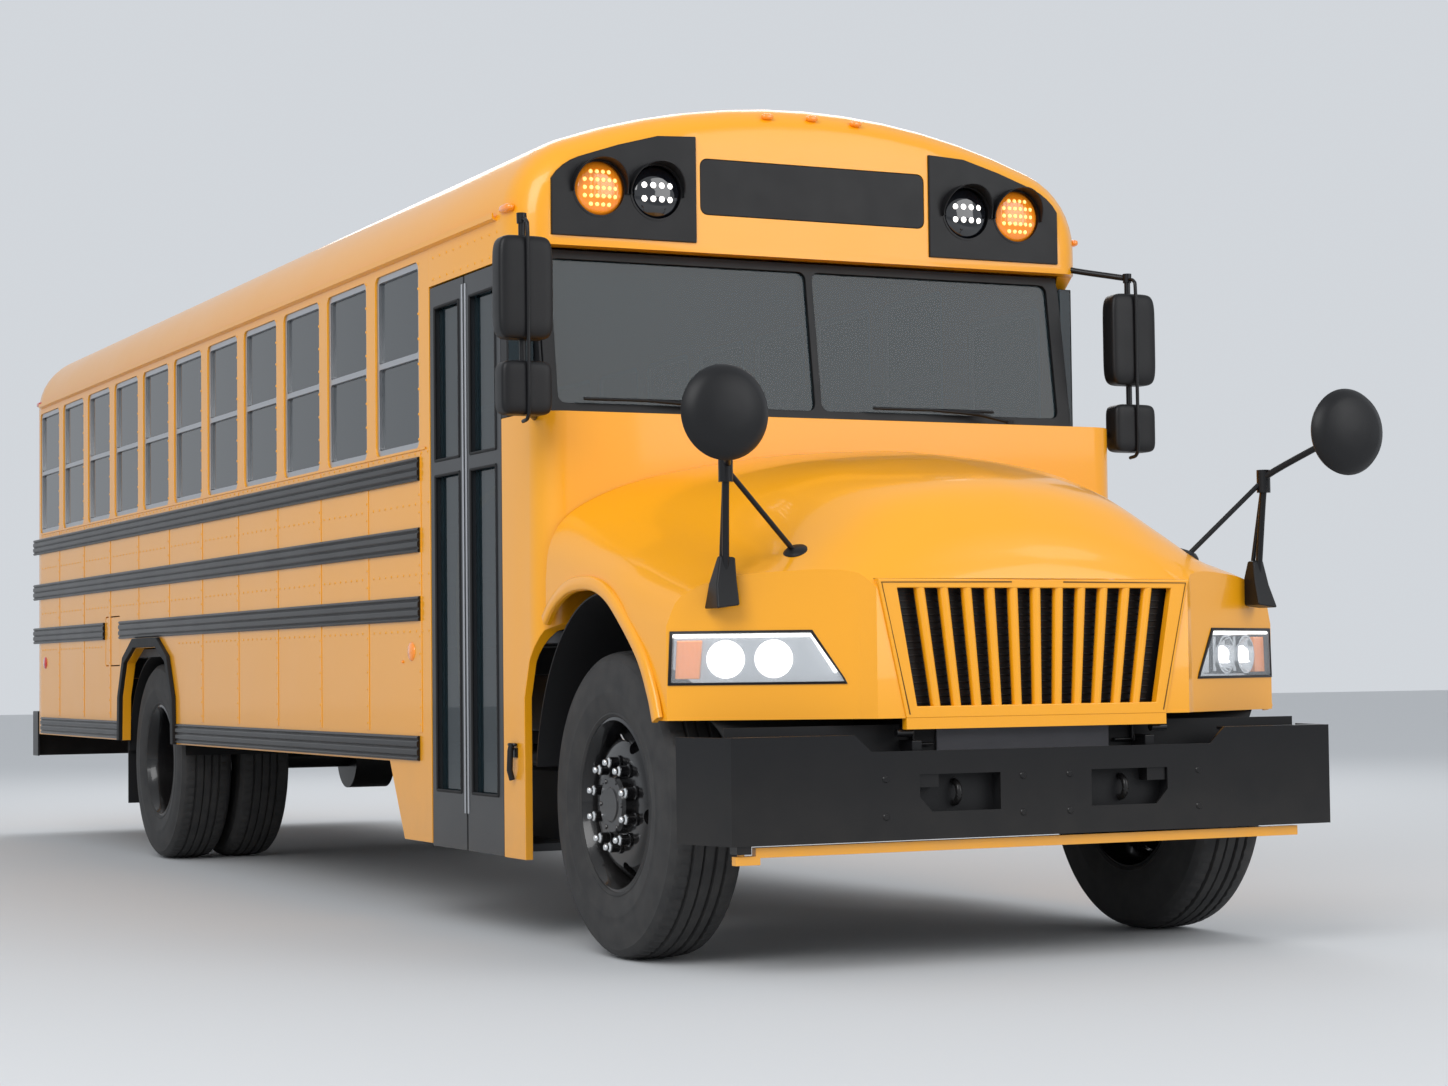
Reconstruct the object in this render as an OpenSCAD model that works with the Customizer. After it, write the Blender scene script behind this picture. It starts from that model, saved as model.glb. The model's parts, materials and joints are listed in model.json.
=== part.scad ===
// Conventional school bus: hollow steel body on a ladder frame, tilting nose,
// outward-opening entrance doors, rear emergency door, stop arm and crossing arm.
// +X is forward, +Y is the driver's side, +Z is up; the ground is z = 0.
// Lengthwise stations are measured from the front axle and moved to the
// overall middle by place().

/* [Body] */
// Width of the body over its side panels
body_w = 2440; // [2300:10:2550]
// Height of the roof's crown above the ground
roof_z = 3130; // [3050:10:3300]
// Height of the top of the cabin floor
floor_z = 1120; // [1110:5:1160]
// Lower edge of the side skirts
skirt_z = 620; // [560:5:680]
// Thickness of the side walls, rear wall and roof
wall = 45; // [35:1:60]
// Thickness of the floor
floor_t = 45; // [30:1:50]

/* [Windows] */
// Passenger windows on each side
window_count = 11; // [6:1:13]
// Distance from one passenger window to the next
window_pitch = 655; // [600:5:720]
// Width of a passenger window's opening
window_w = 540; // [450:5:580]
// Height of a passenger window's sill
window_sill_z = 1865; // [1820:5:1900]
// Height of a passenger window's opening
window_h = 745; // [600:5:755]
// Thickness of window glass
glass_t = 6; // [4:1:10]

/* [Running gear] */
// Distance between the axles
wheelbase = 6150; // [5600:50:7000]
// Outer radius of a tyre
tyre_r = 522; // [480:1:530]
// Width of a tyre
tyre_w = 280; // [240:1:290]
// Distance from the middle of the bus to the middle of an outer tyre
track_half = 1030; // [980:5:1040]
// Radius of a wheel's rim flange
rim_r = 298; // [280:1:310]
// Distance from the middle of the bus to a kingpin
kingpin_y = 850; // [820:5:860]
// Height of a frame rail
rail_h = 240; // [200:5:260]
// Distance from the middle of the bus to a rail's outer face
rail_y = 430; // [400:5:440]

/* [Entrance] */
// Length of the doorway along the bus
door_w = 780; // [700:5:800]
// Thickness of a door leaf
leaf_t = 40; // [30:1:45]
// Underside of the door leaves
door_z = 302; // [290:1:340]

/* [Hood and bumper] */
// Thickness of the hood's moulding
hood_t = 14; // [10:1:20]
// Furthest forward face of the front bumper
bumper_x = 905; // [895:1:960]
// Top of the front bumper
bumper_top = 762; // [740:1:770]
// Height of the front bumper
bumper_h = 338; // [300:1:345]
// Radius of a crossover mirror
cross_r = 150; // [110:1:150]

/* [Hidden] */
$fn = 48;

seam = 0.5;            // gap between pieces that are fastened face to face
run = 6;               // gap between pieces that move past each other
hw = body_w / 2;
// stations along the bus, from the front axle
door_x1 = -860;                                   // front edge of the doorway
door_x0 = door_x1 - door_w;                       // rear edge of the doorway
windows_x = door_x0 - 123;                        // front edge of the first passenger window
rear_x = door_x0 - 60 - window_count * window_pitch - 115; // rear face of the body
cap_x = -690;                                     // front face of the roof cap
dash_x = -480;                                    // front face of the cowl
side_top = 2640;                                  // where the roof leaves the side walls
header_z = 2490;                                  // top of the doorway
hub_z = tyre_r;
// the whole length, for the middle of the frame
mirror_x = 1000;                                  // crossover mirrors' centres
nose_x = mirror_x + 30;
tail_x = rear_x - 150;
module place() translate([-(nose_x + tail_x) / 2, 0, 0]) children();
module both_sides() { children(); mirror([0, 1, 0]) children(); }

// ---------------------------------------------------------------- helpers
// outline of a rectangle with round corners, n segments a corner
function round_rect(x0, x1, y0, y1, r, n = 4) = [
  for (c = [[x1 - r, y1 - r, 0], [x0 + r, y1 - r, 90], [x0 + r, y0 + r, 180], [x1 - r, y0 + r, 270]])
    for (i = [0:n]) [c[0] + r * cos(c[2] + 90 * i / n), c[1] + r * sin(c[2] + 90 * i / n)]];
// a solid through rings of points that all have the same count
module loft(rings) {
  n = len(rings[0]);
  m = len(rings);
  polyhedron(
    points = [for (r = rings) each r],
    faces = concat(
      [[for (i = [0:n - 1]) i]],
      [[for (i = [n - 1:-1:0]) (m - 1) * n + i]],
      [for (k = [0:m - 2], i = [0:n - 1]) each [
        [k * n + i, (k + 1) * n + i, k * n + (i + 1) % n],
        [k * n + (i + 1) % n, (k + 1) * n + i, (k + 1) * n + (i + 1) % n]]]));
}
// a plate in the plane of the side walls, from outline points [x, z]
module side_plate(points, y0, t) translate([0, y0 + t, 0]) rotate([90, 0, 0]) linear_extrude(t) polygon(points);
// a bar along X with an outline in [y, z]
module long_bar(points, x0, x1) translate([x0, 0, 0]) rotate([90, 0, 90]) linear_extrude(x1 - x0) polygon(points);
// a round bar between two points
module rod(a, b, r, $fn = $fn) {
  d = b - a;
  translate(a) rotate([0, acos(d[2] / norm(d)), atan2(d[1], d[0])]) cylinder(r = r, h = norm(d));
}
module path_rod(points, r) {
  for (i = [0:len(points) - 2]) rod(points[i], points[i + 1], r);
  for (i = [1:len(points) - 2]) translate(points[i]) sphere(r = r + 1.5);
}
module box(a, b) translate(a) cube(b - a);

// ---------------------------------------------------------------- roof section
corner_r = 330;                                   // radius of the roof's shoulders
rise = roof_z - side_top;
crown_r = (pow(hw - corner_r, 2) + rise * rise - corner_r * corner_r) / (2 * (rise - corner_r));
shoulder_a = atan2(side_top - (roof_z - crown_r), hw - corner_r);
// right-hand half of the roof's section as [y, z], from the eaves to the crown, moved in by inset
function half_roof(inset) = concat(
  [for (i = [0:8]) let (a = shoulder_a * i / 8)
    [hw - corner_r + (corner_r - inset) * cos(a), side_top + (corner_r - inset) * sin(a)]],
  [for (i = [1:6]) let (a = shoulder_a + (90 - shoulder_a) * i / 6)
    [(crown_r - inset) * cos(a), roof_z - crown_r + (crown_r - inset) * sin(a)]]);
function roof_line(inset) = let (h = half_roof(inset), n = len(h))
  concat(h, [for (i = [n - 2:-1:0]) [-h[i][0], h[i][1]]]);
// closed section: the roof line down to a base height
function roof_section(inset, base) = let (p = roof_line(inset))
  concat([[hw - inset, base]], p, [[-(hw - inset), base]]);
function ring_at(x, points) = [for (p = points) [x, p[0], p[1]]];
module roof_shell(x0, x1, base) difference() {
  long_bar(roof_section(0, base), x0, x1);
  long_bar(roof_section(wall, base - 1), x0 - 1, x1 + 1);
}

// ---------------------------------------------------------------- rub rails and side walls
rail_bands = [[1735, 1830], [1452, 1550], [1180, 1278], [skirt_z + 8, skirt_z + 106]]; // bottom, top
rail_t = 14;
arch_half = 560;
arch_z = 1125;
toe_x0 = door_x0 - 505;
toe_x1 = door_x0 - 325;
toe_z = 312;
fuel_x0 = -wheelbase - 960;                       // fuel door's opening
fuel_x1 = -wheelbase - 615;
fuel_z0 = 1030;
fuel_z1 = 1310;
// wheel arch outline about a station, grown by g
function arch(x, g, base) = [[-arch_half - g, base], [-arch_half + 15 - g, 860], [-440 - g * 0.8, 1045 + g * 0.6],
  [-240 - g * 0.4, arch_z + g], [240 + g * 0.4, arch_z + g], [440 + g * 0.8, 1045 + g * 0.6],
  [arch_half - 15 + g, 860], [arch_half + g, base]] + [for (i = [0:7]) [x, 0]];
module side_openings() {
  for (i = [0:window_count - 1])
    translate([-i * window_pitch, 0, 0])
      side_plate(round_rect(windows_x - window_w, windows_x, window_sill_z, window_sill_z + window_h, 40), 0, hw * 2);
  side_plate(arch(-wheelbase, 0, skirt_z - 50), 0, hw * 2);
}
// the skirt drops to a toe beside the steps
function wall_outline(front) = [[rear_x + 200 + seam, side_top - seam], [rear_x + 200 + seam, skirt_z], [toe_x0, skirt_z],
  [toe_x1, toe_z], [front, toe_z], [front, front > door_x0 ? header_z - seam : side_top - seam],
  [door_x0 - seam, front > door_x0 ? header_z - seam : side_top - seam], [door_x0 - seam, side_top - seam]];
driver_window = [door_x0 + 90, door_x1 - 110, 1865, 2440];

module left_wall() color("orange") difference() {
  union() {
    side_plate(wall_outline(door_x1 - seam), hw - wall, wall);
    difference() {
      for (z = [1556, 1704]) box([arm_x - 20, hw - 1, z], [arm_x + 20, hw + 78, z + 16]);
      translate([arm_x, hw + 62, 1500]) cylinder(r = 10.05, h = 300);
    }
  }
  side_openings();
  side_plate(round_rect(driver_window[0], driver_window[1], driver_window[2], driver_window[3], 40), 0, hw * 2);
}
module right_wall() color("orange") mirror([0, 1, 0]) difference() {
  side_plate([for (p = wall_outline(door_x0)) p], hw - wall, wall);
  side_openings();
  side_plate(round_rect(fuel_x0, fuel_x1, fuel_z0, fuel_z1, 20), 0, hw * 2);
}

// ribbed rub rail section, as [distance from the wall, height]
function rub_section(z0, z1) = [for (i = [0:12])
    [rail_t - (i % 4 == 2 ? 7 : 0) - (i == 0 || i == 12 ? 5 : 0), z0 + (z1 - z0) * i / 12]];
module rub_rail(z0, z1, x0, x1) translate([x0, hw + seam, 0]) rotate([90, 0, 90])
  linear_extrude(x1 - x0) polygon(concat([[0, z0]], rub_section(z0, z1), [[0, z1]]));
module rub_rails() color("black") {
  for (left = [false, true]) mirror([0, left ? 0 : 1, 0]) {
    front = left ? door_x1 - 140 : door_x0 - 115;
    for (k = [0:2]) {
      split = !left && k == 2;
      rub_rail(rail_bands[k][0], rail_bands[k][1], split ? fuel_x1 + 12 : rear_x + 20, front);
      if (split) rub_rail(rail_bands[k][0], rail_bands[k][1], rear_x + 20, fuel_x0 - 12);
    }
    rub_rail(rail_bands[3][0], rail_bands[3][1], -wheelbase + arch_half + 75, door_x0 - 135);
    rub_rail(rail_bands[3][0], rail_bands[3][1], rear_x + 230, -wheelbase - arch_half - 75);
  }
}
module wheel_arch_trim() color("dimgray") both_sides() difference() {
  side_plate(arch(-wheelbase, 52, skirt_z), hw + seam, 22);
  side_plate(arch(-wheelbase, 2, skirt_z - 5), hw, 40);
}

// ---------------------------------------------------------------- roof, rear and front ends
hatch = 600;                                      // side of a roof hatch's opening
hatch_x = [door_x0 - 1500, rear_x + 2100];
module roof() color("orange") difference() {
  union() {
    roof_shell(rear_x + 200 + seam, door_x0 - seam, side_top);
    for (x = hatch_x) box([x - hatch / 2 - 12, -hatch / 2 - 12, roof_z - wall + 5], [x + hatch / 2 + 12, hatch / 2 + 12, roof_z + 2]);
  }
  for (x = hatch_x) box([x - hatch / 2, -hatch / 2, 2800], [x + hatch / 2, hatch / 2, 3300]);
}
module roof_hatch(x) color("white") translate([x, 0, 0]) {
  r = hatch / 2 + 30;
  difference() {
    box([-r, -r, roof_z + 8], [r, r, roof_z + 50]);
    box([-r + 20, -r + 20, roof_z], [r - 20, r - 20, roof_z + 30]);
  }
  translate([r + 12, 0, roof_z + 22]) rotate([90, 0, 0]) cylinder(r = 12, h = hatch, center = true);
}
rear_door_w = 720;
rear_door_z0 = floor_z - 10;
rear_door_z1 = 2560;
rear_inset = [[0, 95], [15, 60], [50, 26], [110, 6], [200, 0]];    // distance from the rear face, inset
module rear_wall() color("orange") difference() {
  union() {
    difference() {
      loft([for (s = rear_inset) ring_at(rear_x + s[0], roof_section(s[1], skirt_z))]);
      loft([for (s = rear_inset) ring_at(rear_x + s[0] + (s[0] == 200 ? 1 : wall * (1 - s[0] / 200)), roof_section(s[1] + wall, skirt_z - 1))]);
    }
  }
  for (s = [-1, 1]) rear_plate(round_rect(min(s * 450, s * 1010), max(s * 450, s * 1010), 1865, 2460, 40));
  rear_plate(round_rect(-rear_door_w / 2 - run, rear_door_w / 2 + run, rear_door_z0 - run, rear_door_z1 + run, 20));
  for (s = [-1, 1]) rear_plate(lamp_outline(s, -seam), 80);
  at_windows(window_count - 1) side_plate(round_rect(0, window_w, 0, window_h, 40), -90, 120);
  // the frame and the bumper's brackets come through
  both_sides() box([rear_x - 10, rail_y - 80 - seam, 500], [rear_x + 60, rail_y + seam, rail_top + seam]);
}
// a cut or plate across the bus, from outline points [y, z]
module rear_plate(points, depth = 400) translate([rear_x - 200, 0, 0]) rotate([90, 0, 90]) linear_extrude(200 + (depth > 300 ? 400 : 22)) polygon(points);

// warning lamp panels: outline of one panel as [y, z], s = side, g = growth
function lamp_outline(s, g) = let (h = half_roof(90), top = [for (p = h) if (p[0] > 520) p])
  [for (p = concat([[500 - g, 2570 - g], [1085 + g, 2570 - g]], [for (q = top) [min(q[0], 1085) + g * 0.7, q[1] + g * 0.7]],
    [[500 - g, top[len(top) - 1][1] + g + 8]])) [s * p[0], p[1]]];
cap_inset = [[950, 0], [160, 0], [90, 10], [40, 34], [10, 70], [0, 95]];  // distance behind the front face, inset
module cap_outside(g) loft([for (s = cap_inset)
  ring_at(cap_x - s[0], roof_section(s[1] + g, header_z + (s[0] < 100 ? 45 : 0)))]);
module front_cap() color("orange") difference() {
  cap_outside(0);
  loft([for (s = [[960, wall], [160, wall], [75, wall + 40]]) ring_at(cap_x - s[0], roof_section(s[1], header_z - 1))]);
  for (s = [-1, 1]) front_plate(lamp_outline(s, seam), -50, 100);
  front_plate(round_rect(-482, 482, 2678, 2892, 30), -12, 100);
}
// a plate or cut at the cap's front face, from d0 to d1 ahead of it
module front_plate(points, d0, d1) translate([cap_x + d0, 0, 0]) rotate([90, 0, 90]) linear_extrude(d1 - d0) polygon(points);

lamp_r = 100;
lamp_y = [665, 895];
lamp_z = 2750;
module lamp_panels() color("black") {
  for (s = [-1, 1]) difference() {
    front_plate(lamp_outline(s, 0), -50 + seam, 10);
    for (y = lamp_y) translate([cap_x - 30, s * y, lamp_z]) rotate([0, 90, 0]) cylinder(r = lamp_r + seam, h = 80);
  }
  front_plate(round_rect(-481, 481, 2679, 2891, 30), -12 + seam, 0);
  for (s = [-1, 1]) difference() {
    translate([rear_x - 8, 0, 0]) rotate([90, 0, 90]) linear_extrude(30 - seam) polygon(lamp_outline(s, -3));
    for (y = lamp_y) translate([rear_x - 60, s * y, lamp_z]) rotate([0, 90, 0]) cylinder(r = lamp_r + seam, h = 68);
  }
}
// a warning lamp: drum with a domed lens, pointing along +X
module lamp() rotate([0, 90, 0]) rotate_extrude()
  polygon([[0, 0], [lamp_r, 0], [lamp_r, 26], [lamp_r - 12, 38], [lamp_r / 2, 48], [0, 52]]);
module front_lamp(y) translate([cap_x - 30 + seam, y, lamp_z]) lamp();
module rear_lamp(y, z = lamp_z, k = 1) translate([rear_x + 8 - seam, y, z]) mirror([1, 0, 0]) scale(k) lamp();
module amber_lamps() color("gold") {
  for (s = [-1, 1]) { front_lamp(s * lamp_y[1]); rear_lamp(s * lamp_y[0]); }
}
module red_lamps() color("red") {
  for (s = [-1, 1]) {
    front_lamp(s * lamp_y[0]);
    rear_lamp(s * lamp_y[1]);
    for (y = [560, 790]) translate([rear_x - seam, s * y, 1640]) mirror([1, 0, 0]) scale(0.9) lamp();
  }
}

// ---------------------------------------------------------------- cowl and windshield
cowl_top = 1905;
function cowl_plan(g) = let (w = hw - g, f = dash_x - g, r = 110 - g * 0.5) concat(
  [[door_x1, -w]], [for (i = [0:6]) [f - r + r * sin(15 * i), -(w - r) - r * cos(15 * i)]],
  [for (i = [6:-1:0]) [f - r + r * sin(15 * i), w - r + r * cos(15 * i)]], [[door_x1, w]]);
module cowl() color("orange") difference() {
  translate([0, 0, 300]) linear_extrude(cowl_top - 300) polygon(cowl_plan(0));
  translate([-1, 0, 200]) linear_extrude(cowl_top - 230) polygon(cowl_plan(30));
  // wheel openings and the space for the frame
  both_sides() side_plate([[-650, 200], [-650, 880], [-600, 1010], [-520, 1120], [-470, 1150], [-400, 1150],
    [-400, 200]], 560, hw);
  box([-700, -565, 200], [-400, 565, 980]);
  // the cabin reaches forward to the foot of the windshield
  box([door_x1 - 1, 45 - hw, 1800], [-705, hw - 45, cowl_top + 1]);
}
ws_x = [-665, -755];                              // windshield's outer face, bottom and top
ws_z = [cowl_top + seam, 2534];
ws_angle = atan((ws_x[0] - ws_x[1]) / (ws_z[1] - ws_z[0]));
ws_len = (ws_z[1] - ws_z[0]) / cos(ws_angle);
module on_windshield() translate([ws_x[0], 0, ws_z[0]]) rotate([0, -ws_angle, 0]) rotate([90, 0, 90]) children();
frame_t = 32;
pane = [[14, 1068], [48, ws_len - 42]];           // one pane of glass: across, up
module windshield_frame() color("black") {
  on_windshield() translate([0, 0, -frame_t]) linear_extrude(frame_t) difference() {
    polygon([[-1118, 6], [1118, 6], [1118, ws_len - 8], [-1118, ws_len - 8]]);
    for (s = [0, 1]) mirror([s, 0]) polygon(round_rect(pane[0][0], pane[0][1], pane[1][0], pane[1][1], 30));
  }
  // posts at the front corners of the doorway and the driver's window
  both_sides() box([door_x1, hw - 45, cowl_top + seam], [door_x1 + 60, hw - 1, header_z - seam]);
  // cheeks between the leaning glass and the corner glass
  both_sides() side_plate([[ws_x[0] - 6, ws_z[0]], [ws_x[1] - 3, header_z - 1], [-764, header_z - 1], [-764, ws_z[0]]], 1119, 10);
}
module windshield() color("lightblue", 0.4) {
  on_windshield() translate([0, 0, -frame_t / 2 - glass_t / 2]) for (s = [0, 1]) mirror([s, 0])
    linear_extrude(glass_t) polygon(round_rect(pane[0][0] + seam, pane[0][1] - seam, pane[1][0] + seam, pane[1][1] - seam, 30));
  both_sides() translate([0, 0, cowl_top + 8]) linear_extrude(header_z - cowl_top - 16)
    polygon([[door_x1 + 61, hw - 16], [-756, 1129 + seam], [-750, 1135], [door_x1 + 61, hw - 8]]);
}
module wipers() color("black") for (s = [-1, 1]) {
  translate([dash_x - 120, s * 600 + 200, cowl_top + seam]) cylinder(r = 16, h = 26);
  path_rod([[dash_x - 120, s * 600 + 200, cowl_top + 20], [dash_x - 150, s * 600 + 80, cowl_top + 50],
    [dash_x - 160, s * 600 - 120, cowl_top + 62]], 7);
  rod([dash_x - 163, s * 600 - 380, cowl_top + 62], [dash_x - 160, s * 600 + 150, cowl_top + 62], 6);
}

// ---------------------------------------------------------------- side windows
sash_w = 26;
module at_windows(first = 0) for (left = [false, true]) mirror([0, left ? 0 : 1, 0])
  for (i = [first:window_count - 1]) translate([windows_x - window_w - i * window_pitch, hw, window_sill_z]) children();
function driver_glass(g) = round_rect(driver_window[0] + g, driver_window[1] - g, driver_window[2] + g, driver_window[3] - g, 40);
module window_sashes() color("silver") {
  at_windows() difference() {
    side_plate(round_rect(seam, window_w - seam, seam, window_h - seam, 40), -40, 32);
    side_plate(round_rect(sash_w, window_w - sash_w, sash_w, window_h / 2 - 12, 14), -50, 60);
    side_plate(round_rect(sash_w, window_w - sash_w, window_h / 2 + 12, window_h - sash_w, 14), -50, 60);
  }
  difference() {
    side_plate(driver_glass(seam), hw - 40, 32);
    side_plate(driver_glass(sash_w), hw - 60, 90);
  }
}
module window_glass() color("lightblue", 0.4) {
  at_windows() for (z = [[sash_w, window_h / 2 - 12], [window_h / 2 + 12, window_h - sash_w]])
    side_plate(round_rect(sash_w, window_w - sash_w, z[0], z[1], 14), -24 - glass_t / 2, glass_t);
  side_plate(driver_glass(sash_w), hw - 24 - glass_t / 2, glass_t);
  both_sides() translate([rear_x + 20, 0, 0]) rotate([90, 0, 90])
    linear_extrude(glass_t) polygon(round_rect(450 + seam, 1010 - seam, 1865 + seam, 2460 - seam, 40));
}

// ---------------------------------------------------------------- frame, floor and running gear
rail_top = 960;
module frame_rails() color("dimgray") {
  both_sides() difference() {
    box([rear_x + 40, rail_y - 80, rail_top - rail_h], [780, rail_y, rail_top]);
    box([rear_x + 39, rail_y - 81, rail_top - rail_h + 10], [781, rail_y - 10, rail_top - 10]);
  }
  for (x = [rear_x + 400, -wheelbase - 700, -wheelbase + 700, -4300, -3100, -1900, -900])
    box([x, -rail_y + 10 + seam, rail_top - 170], [x + 60, rail_y - 10 - seam, rail_top - 50]);
  both_sides() box([700, rail_y, 600], [bumper_x - 60 - seam, rail_y + 38, 740]);
}
module floor() color("gray") {
  difference() {
    translate([0, 0, floor_z - floor_t]) linear_extrude(floor_t) let (w = hw - wall - seam) intersection() {
      polygon([[rear_x + wall + 2, 95 - w], [rear_x + 200, -w], [dash_x, -w], [dash_x, w], [rear_x + 200, w], [rear_x + wall + 2, w - 95]]);
      translate([-1, 0]) polygon(concat(cowl_plan(30 + seam), [[rear_x, hw], [rear_x, -hw]]));
    }
    box([door_x0 - 1, -hw, 1000], [door_x1 + 1, -480, 1300]);
  }
  for (x = [rear_x + 300 : 700 : door_x0 - 300]) if (abs(x + wheelbase) > 590)
    box([x, -(hw - wall - 40), rail_top + seam], [x + 60, hw - wall - 40, floor_z - floor_t]);
}
module entry_steps() color("gray") long_bar([[-1165, 315], [-1165, 345], [-947, 345], [-947, 603], [-719, 603],
  [-719, 861], [-493, 861], [-493, floor_z - 1], [-481, floor_z - 1], [-481, 831], [-707, 831], [-707, 573],
  [-935, 573], [-935, 315]], door_x0 + 2, door_x1 - 2);
module engine() color("dimgray") box([-440, -330, 560], [600, 330, 1340]);
module radiator() color("dimgray") box([690, -335, 650], [770, 335, 1220]);
module front_axle() color("dimgray") {
  box([-45, -640, 400], [45, 640, 500]);
  both_sides() {
    loft([for (p = [[640, 400, 500], [790, 470, 574]]) [[-45, p[0], p[1]], [-45, p[0], p[2]], [45, p[0], p[2]], [45, p[0], p[1]]]]);
    for (z = [hub_z - 130, hub_z + 96]) box([-50, 740, z], [50, kingpin_y + 40, z + 34]);
    box([-50, 740, hub_z - 130], [50, 785, hub_z + 130]);
    translate([0, kingpin_y, hub_z - 130]) cylinder(r = 22, h = 260);
  }
}
module knuckle(s) mirror([0, s > 0 ? 0 : 1, 0]) color("dimgray") difference() {
  union() {
    translate([0, kingpin_y, hub_z - 90]) cylinder(r = 48, h = 180);
    translate([0, kingpin_y + 30, hub_z]) rotate([-90, 0, 0]) cylinder(r = 60, h = track_half + 106 - kingpin_y - 30);
    translate([0, kingpin_y + 46, hub_z]) rotate([-90, 0, 0]) cylinder(r = 86, h = 22);
  }
  translate([0, kingpin_y, hub_z - 200]) cylinder(r = 22.05, h = 400);
}
// tyre outline as [radius, across], and the rim below it; t runs from the rim's edge, 0, to the tread, 1
function up_wall(t) = rim_r + 2 + (tyre_r - rim_r - 2) * t;
module tyre() color("black") rotate([-90, 0, 0]) rotate_extrude($fn = 96) let (w = tyre_w / 2, r = tyre_r)
  polygon([[287.3, -102.6], [298.3, -107.6], [300, -w + 18], [up_wall(45 / 222), -w + 4], [up_wall(110 / 222), -w],
    [up_wall(170 / 222), -w + 6], [up_wall(200 / 222), -w + 20], [r - 6, -w + 34], [r, -w + 52],
    [r, w - 52], [r - 6, w - 34], [up_wall(200 / 222), w - 20], [up_wall(170 / 222), w - 6], [up_wall(110 / 222), w],
    [up_wall(45 / 222), w - 4], [300, w - 18], [298.3, 107.6], [287.3, 102.6], [287.3, 86],
    [up_wall(25 / 222), 88], [up_wall(100 / 222), 110], [up_wall(170 / 222), 100], [up_wall(196 / 222), 60],
    [up_wall(196 / 222), -60], [up_wall(170 / 222), -100], [up_wall(100 / 222), -110], [up_wall(25 / 222), -88],
    [287.3, -86]]);
// wheel with its disc pushed out by d towards +Y
module rim(d, hub_len) color("dimgray") difference() {
  union() {
    rotate([-90, 0, 0]) rotate_extrude($fn = 96) union() {
      polygon([[rim_r, -118], [rim_r, -108], [287, -103], [287, 103], [rim_r, 108], [rim_r, 118], [286, 122], [270, 92],
        [262, 60], [262, -60], [270, -92], [286, -122]]);
      polygon([[264, d - 95], [264, d - 60], [236, d - 30], [212, d - 6], [192, d], [60.05, d], [60.05, d - 14], [186, d - 14],
        [206, d - 24], [234, d - 56], [246, d - 95]]);
      polygon([[60.05, d - 60], [100, d - 60], [100, d + hub_len - 12], [92, d + hub_len], [60.05, d + hub_len]]);
    }
    for (i = [0:9]) rotate([0, 36 * i + 18, 0]) translate([143, d - 1, 0]) rotate([-90, 0, 0]) cylinder(r = 16, h = 38, $fn = 6);
  }
  for (i = [0:4]) rotate([0, 72 * i + 9, 0]) translate([223, d - 120, 0]) rotate([-90, 0, 0]) cylinder(r = 27, h = 160);
}
module at_wheel(x, y, s) translate([x, s * y, hub_z]) mirror([0, s > 0 ? 0 : 1, 0]) children();
dual = 310;                                       // between the middles of twin tyres
module front_rim(s) at_wheel(0, track_half, s) rim(100, 34);
module twin_tyres(s) { at_wheel(-wheelbase, track_half, s) tyre(); at_wheel(-wheelbase, track_half - dual, s) tyre(); }
module twin_rims(s) {
  at_wheel(-wheelbase, track_half, s) mirror([0, 1, 0]) rim(154, 0);
  at_wheel(-wheelbase, track_half - dual, s) rim(154.5, 0);
  at_wheel(-wheelbase, track_half - dual / 2, s) rotate([-90, 0, 0]) rotate_extrude() translate([60.05, 1])
    square([48, 128]);
}
module rear_axle() color("dimgray") {
  translate([-wheelbase, 0, hub_z]) rotate([90, 0, 0]) cylinder(r = 60, h = 2 * (track_half + 20), center = true);
  translate([-wheelbase, 0, hub_z]) rotate([90, 0, 0]) cylinder(r = 175, h = 220, center = true);
  rod([-wheelbase + 100, 0, hub_z + 20], [-450, 0, 650], 45);
}
module leaf_springs() color("dimgray") both_sides() for (a = [[0, 650, 502], [-wheelbase, 700, hub_z + 61]]) {
  translate([a[0], rail_y - 78, 0]) for (k = [0:3]) box([-a[1] * (1 - k * 0.2), 0, a[2] + 36 - k * 12],
    [a[1] * (1 - k * 0.2), 76, a[2] + 48 - k * 12]);
  for (d = [-1, 1]) box([a[0] + d * (a[1] - 40) - 30, rail_y - 78, a[2] + 48], [a[0] + d * (a[1] - 40) + 30, rail_y - 2, rail_top - rail_h]);
}
module fuel_tank() color("dimgray") {
  box([rear_x + 850, -330, 520], [-wheelbase - 760, 330, 930]);
  for (x = [rear_x + 1000, -wheelbase - 960]) box([x, -340, 520], [x + 50, -330, 930]);
}
module exhaust() color("dimgray") {
  rod([-500, 480, 640], [-1700, 500, 600], 50);
  rod([-1701, 500, 600], [-3001, 500, 600], 51);
  translate([-3000, 500, 600]) rotate([0, -90, 0]) cylinder(r = 130, h = 1000);
}

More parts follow.
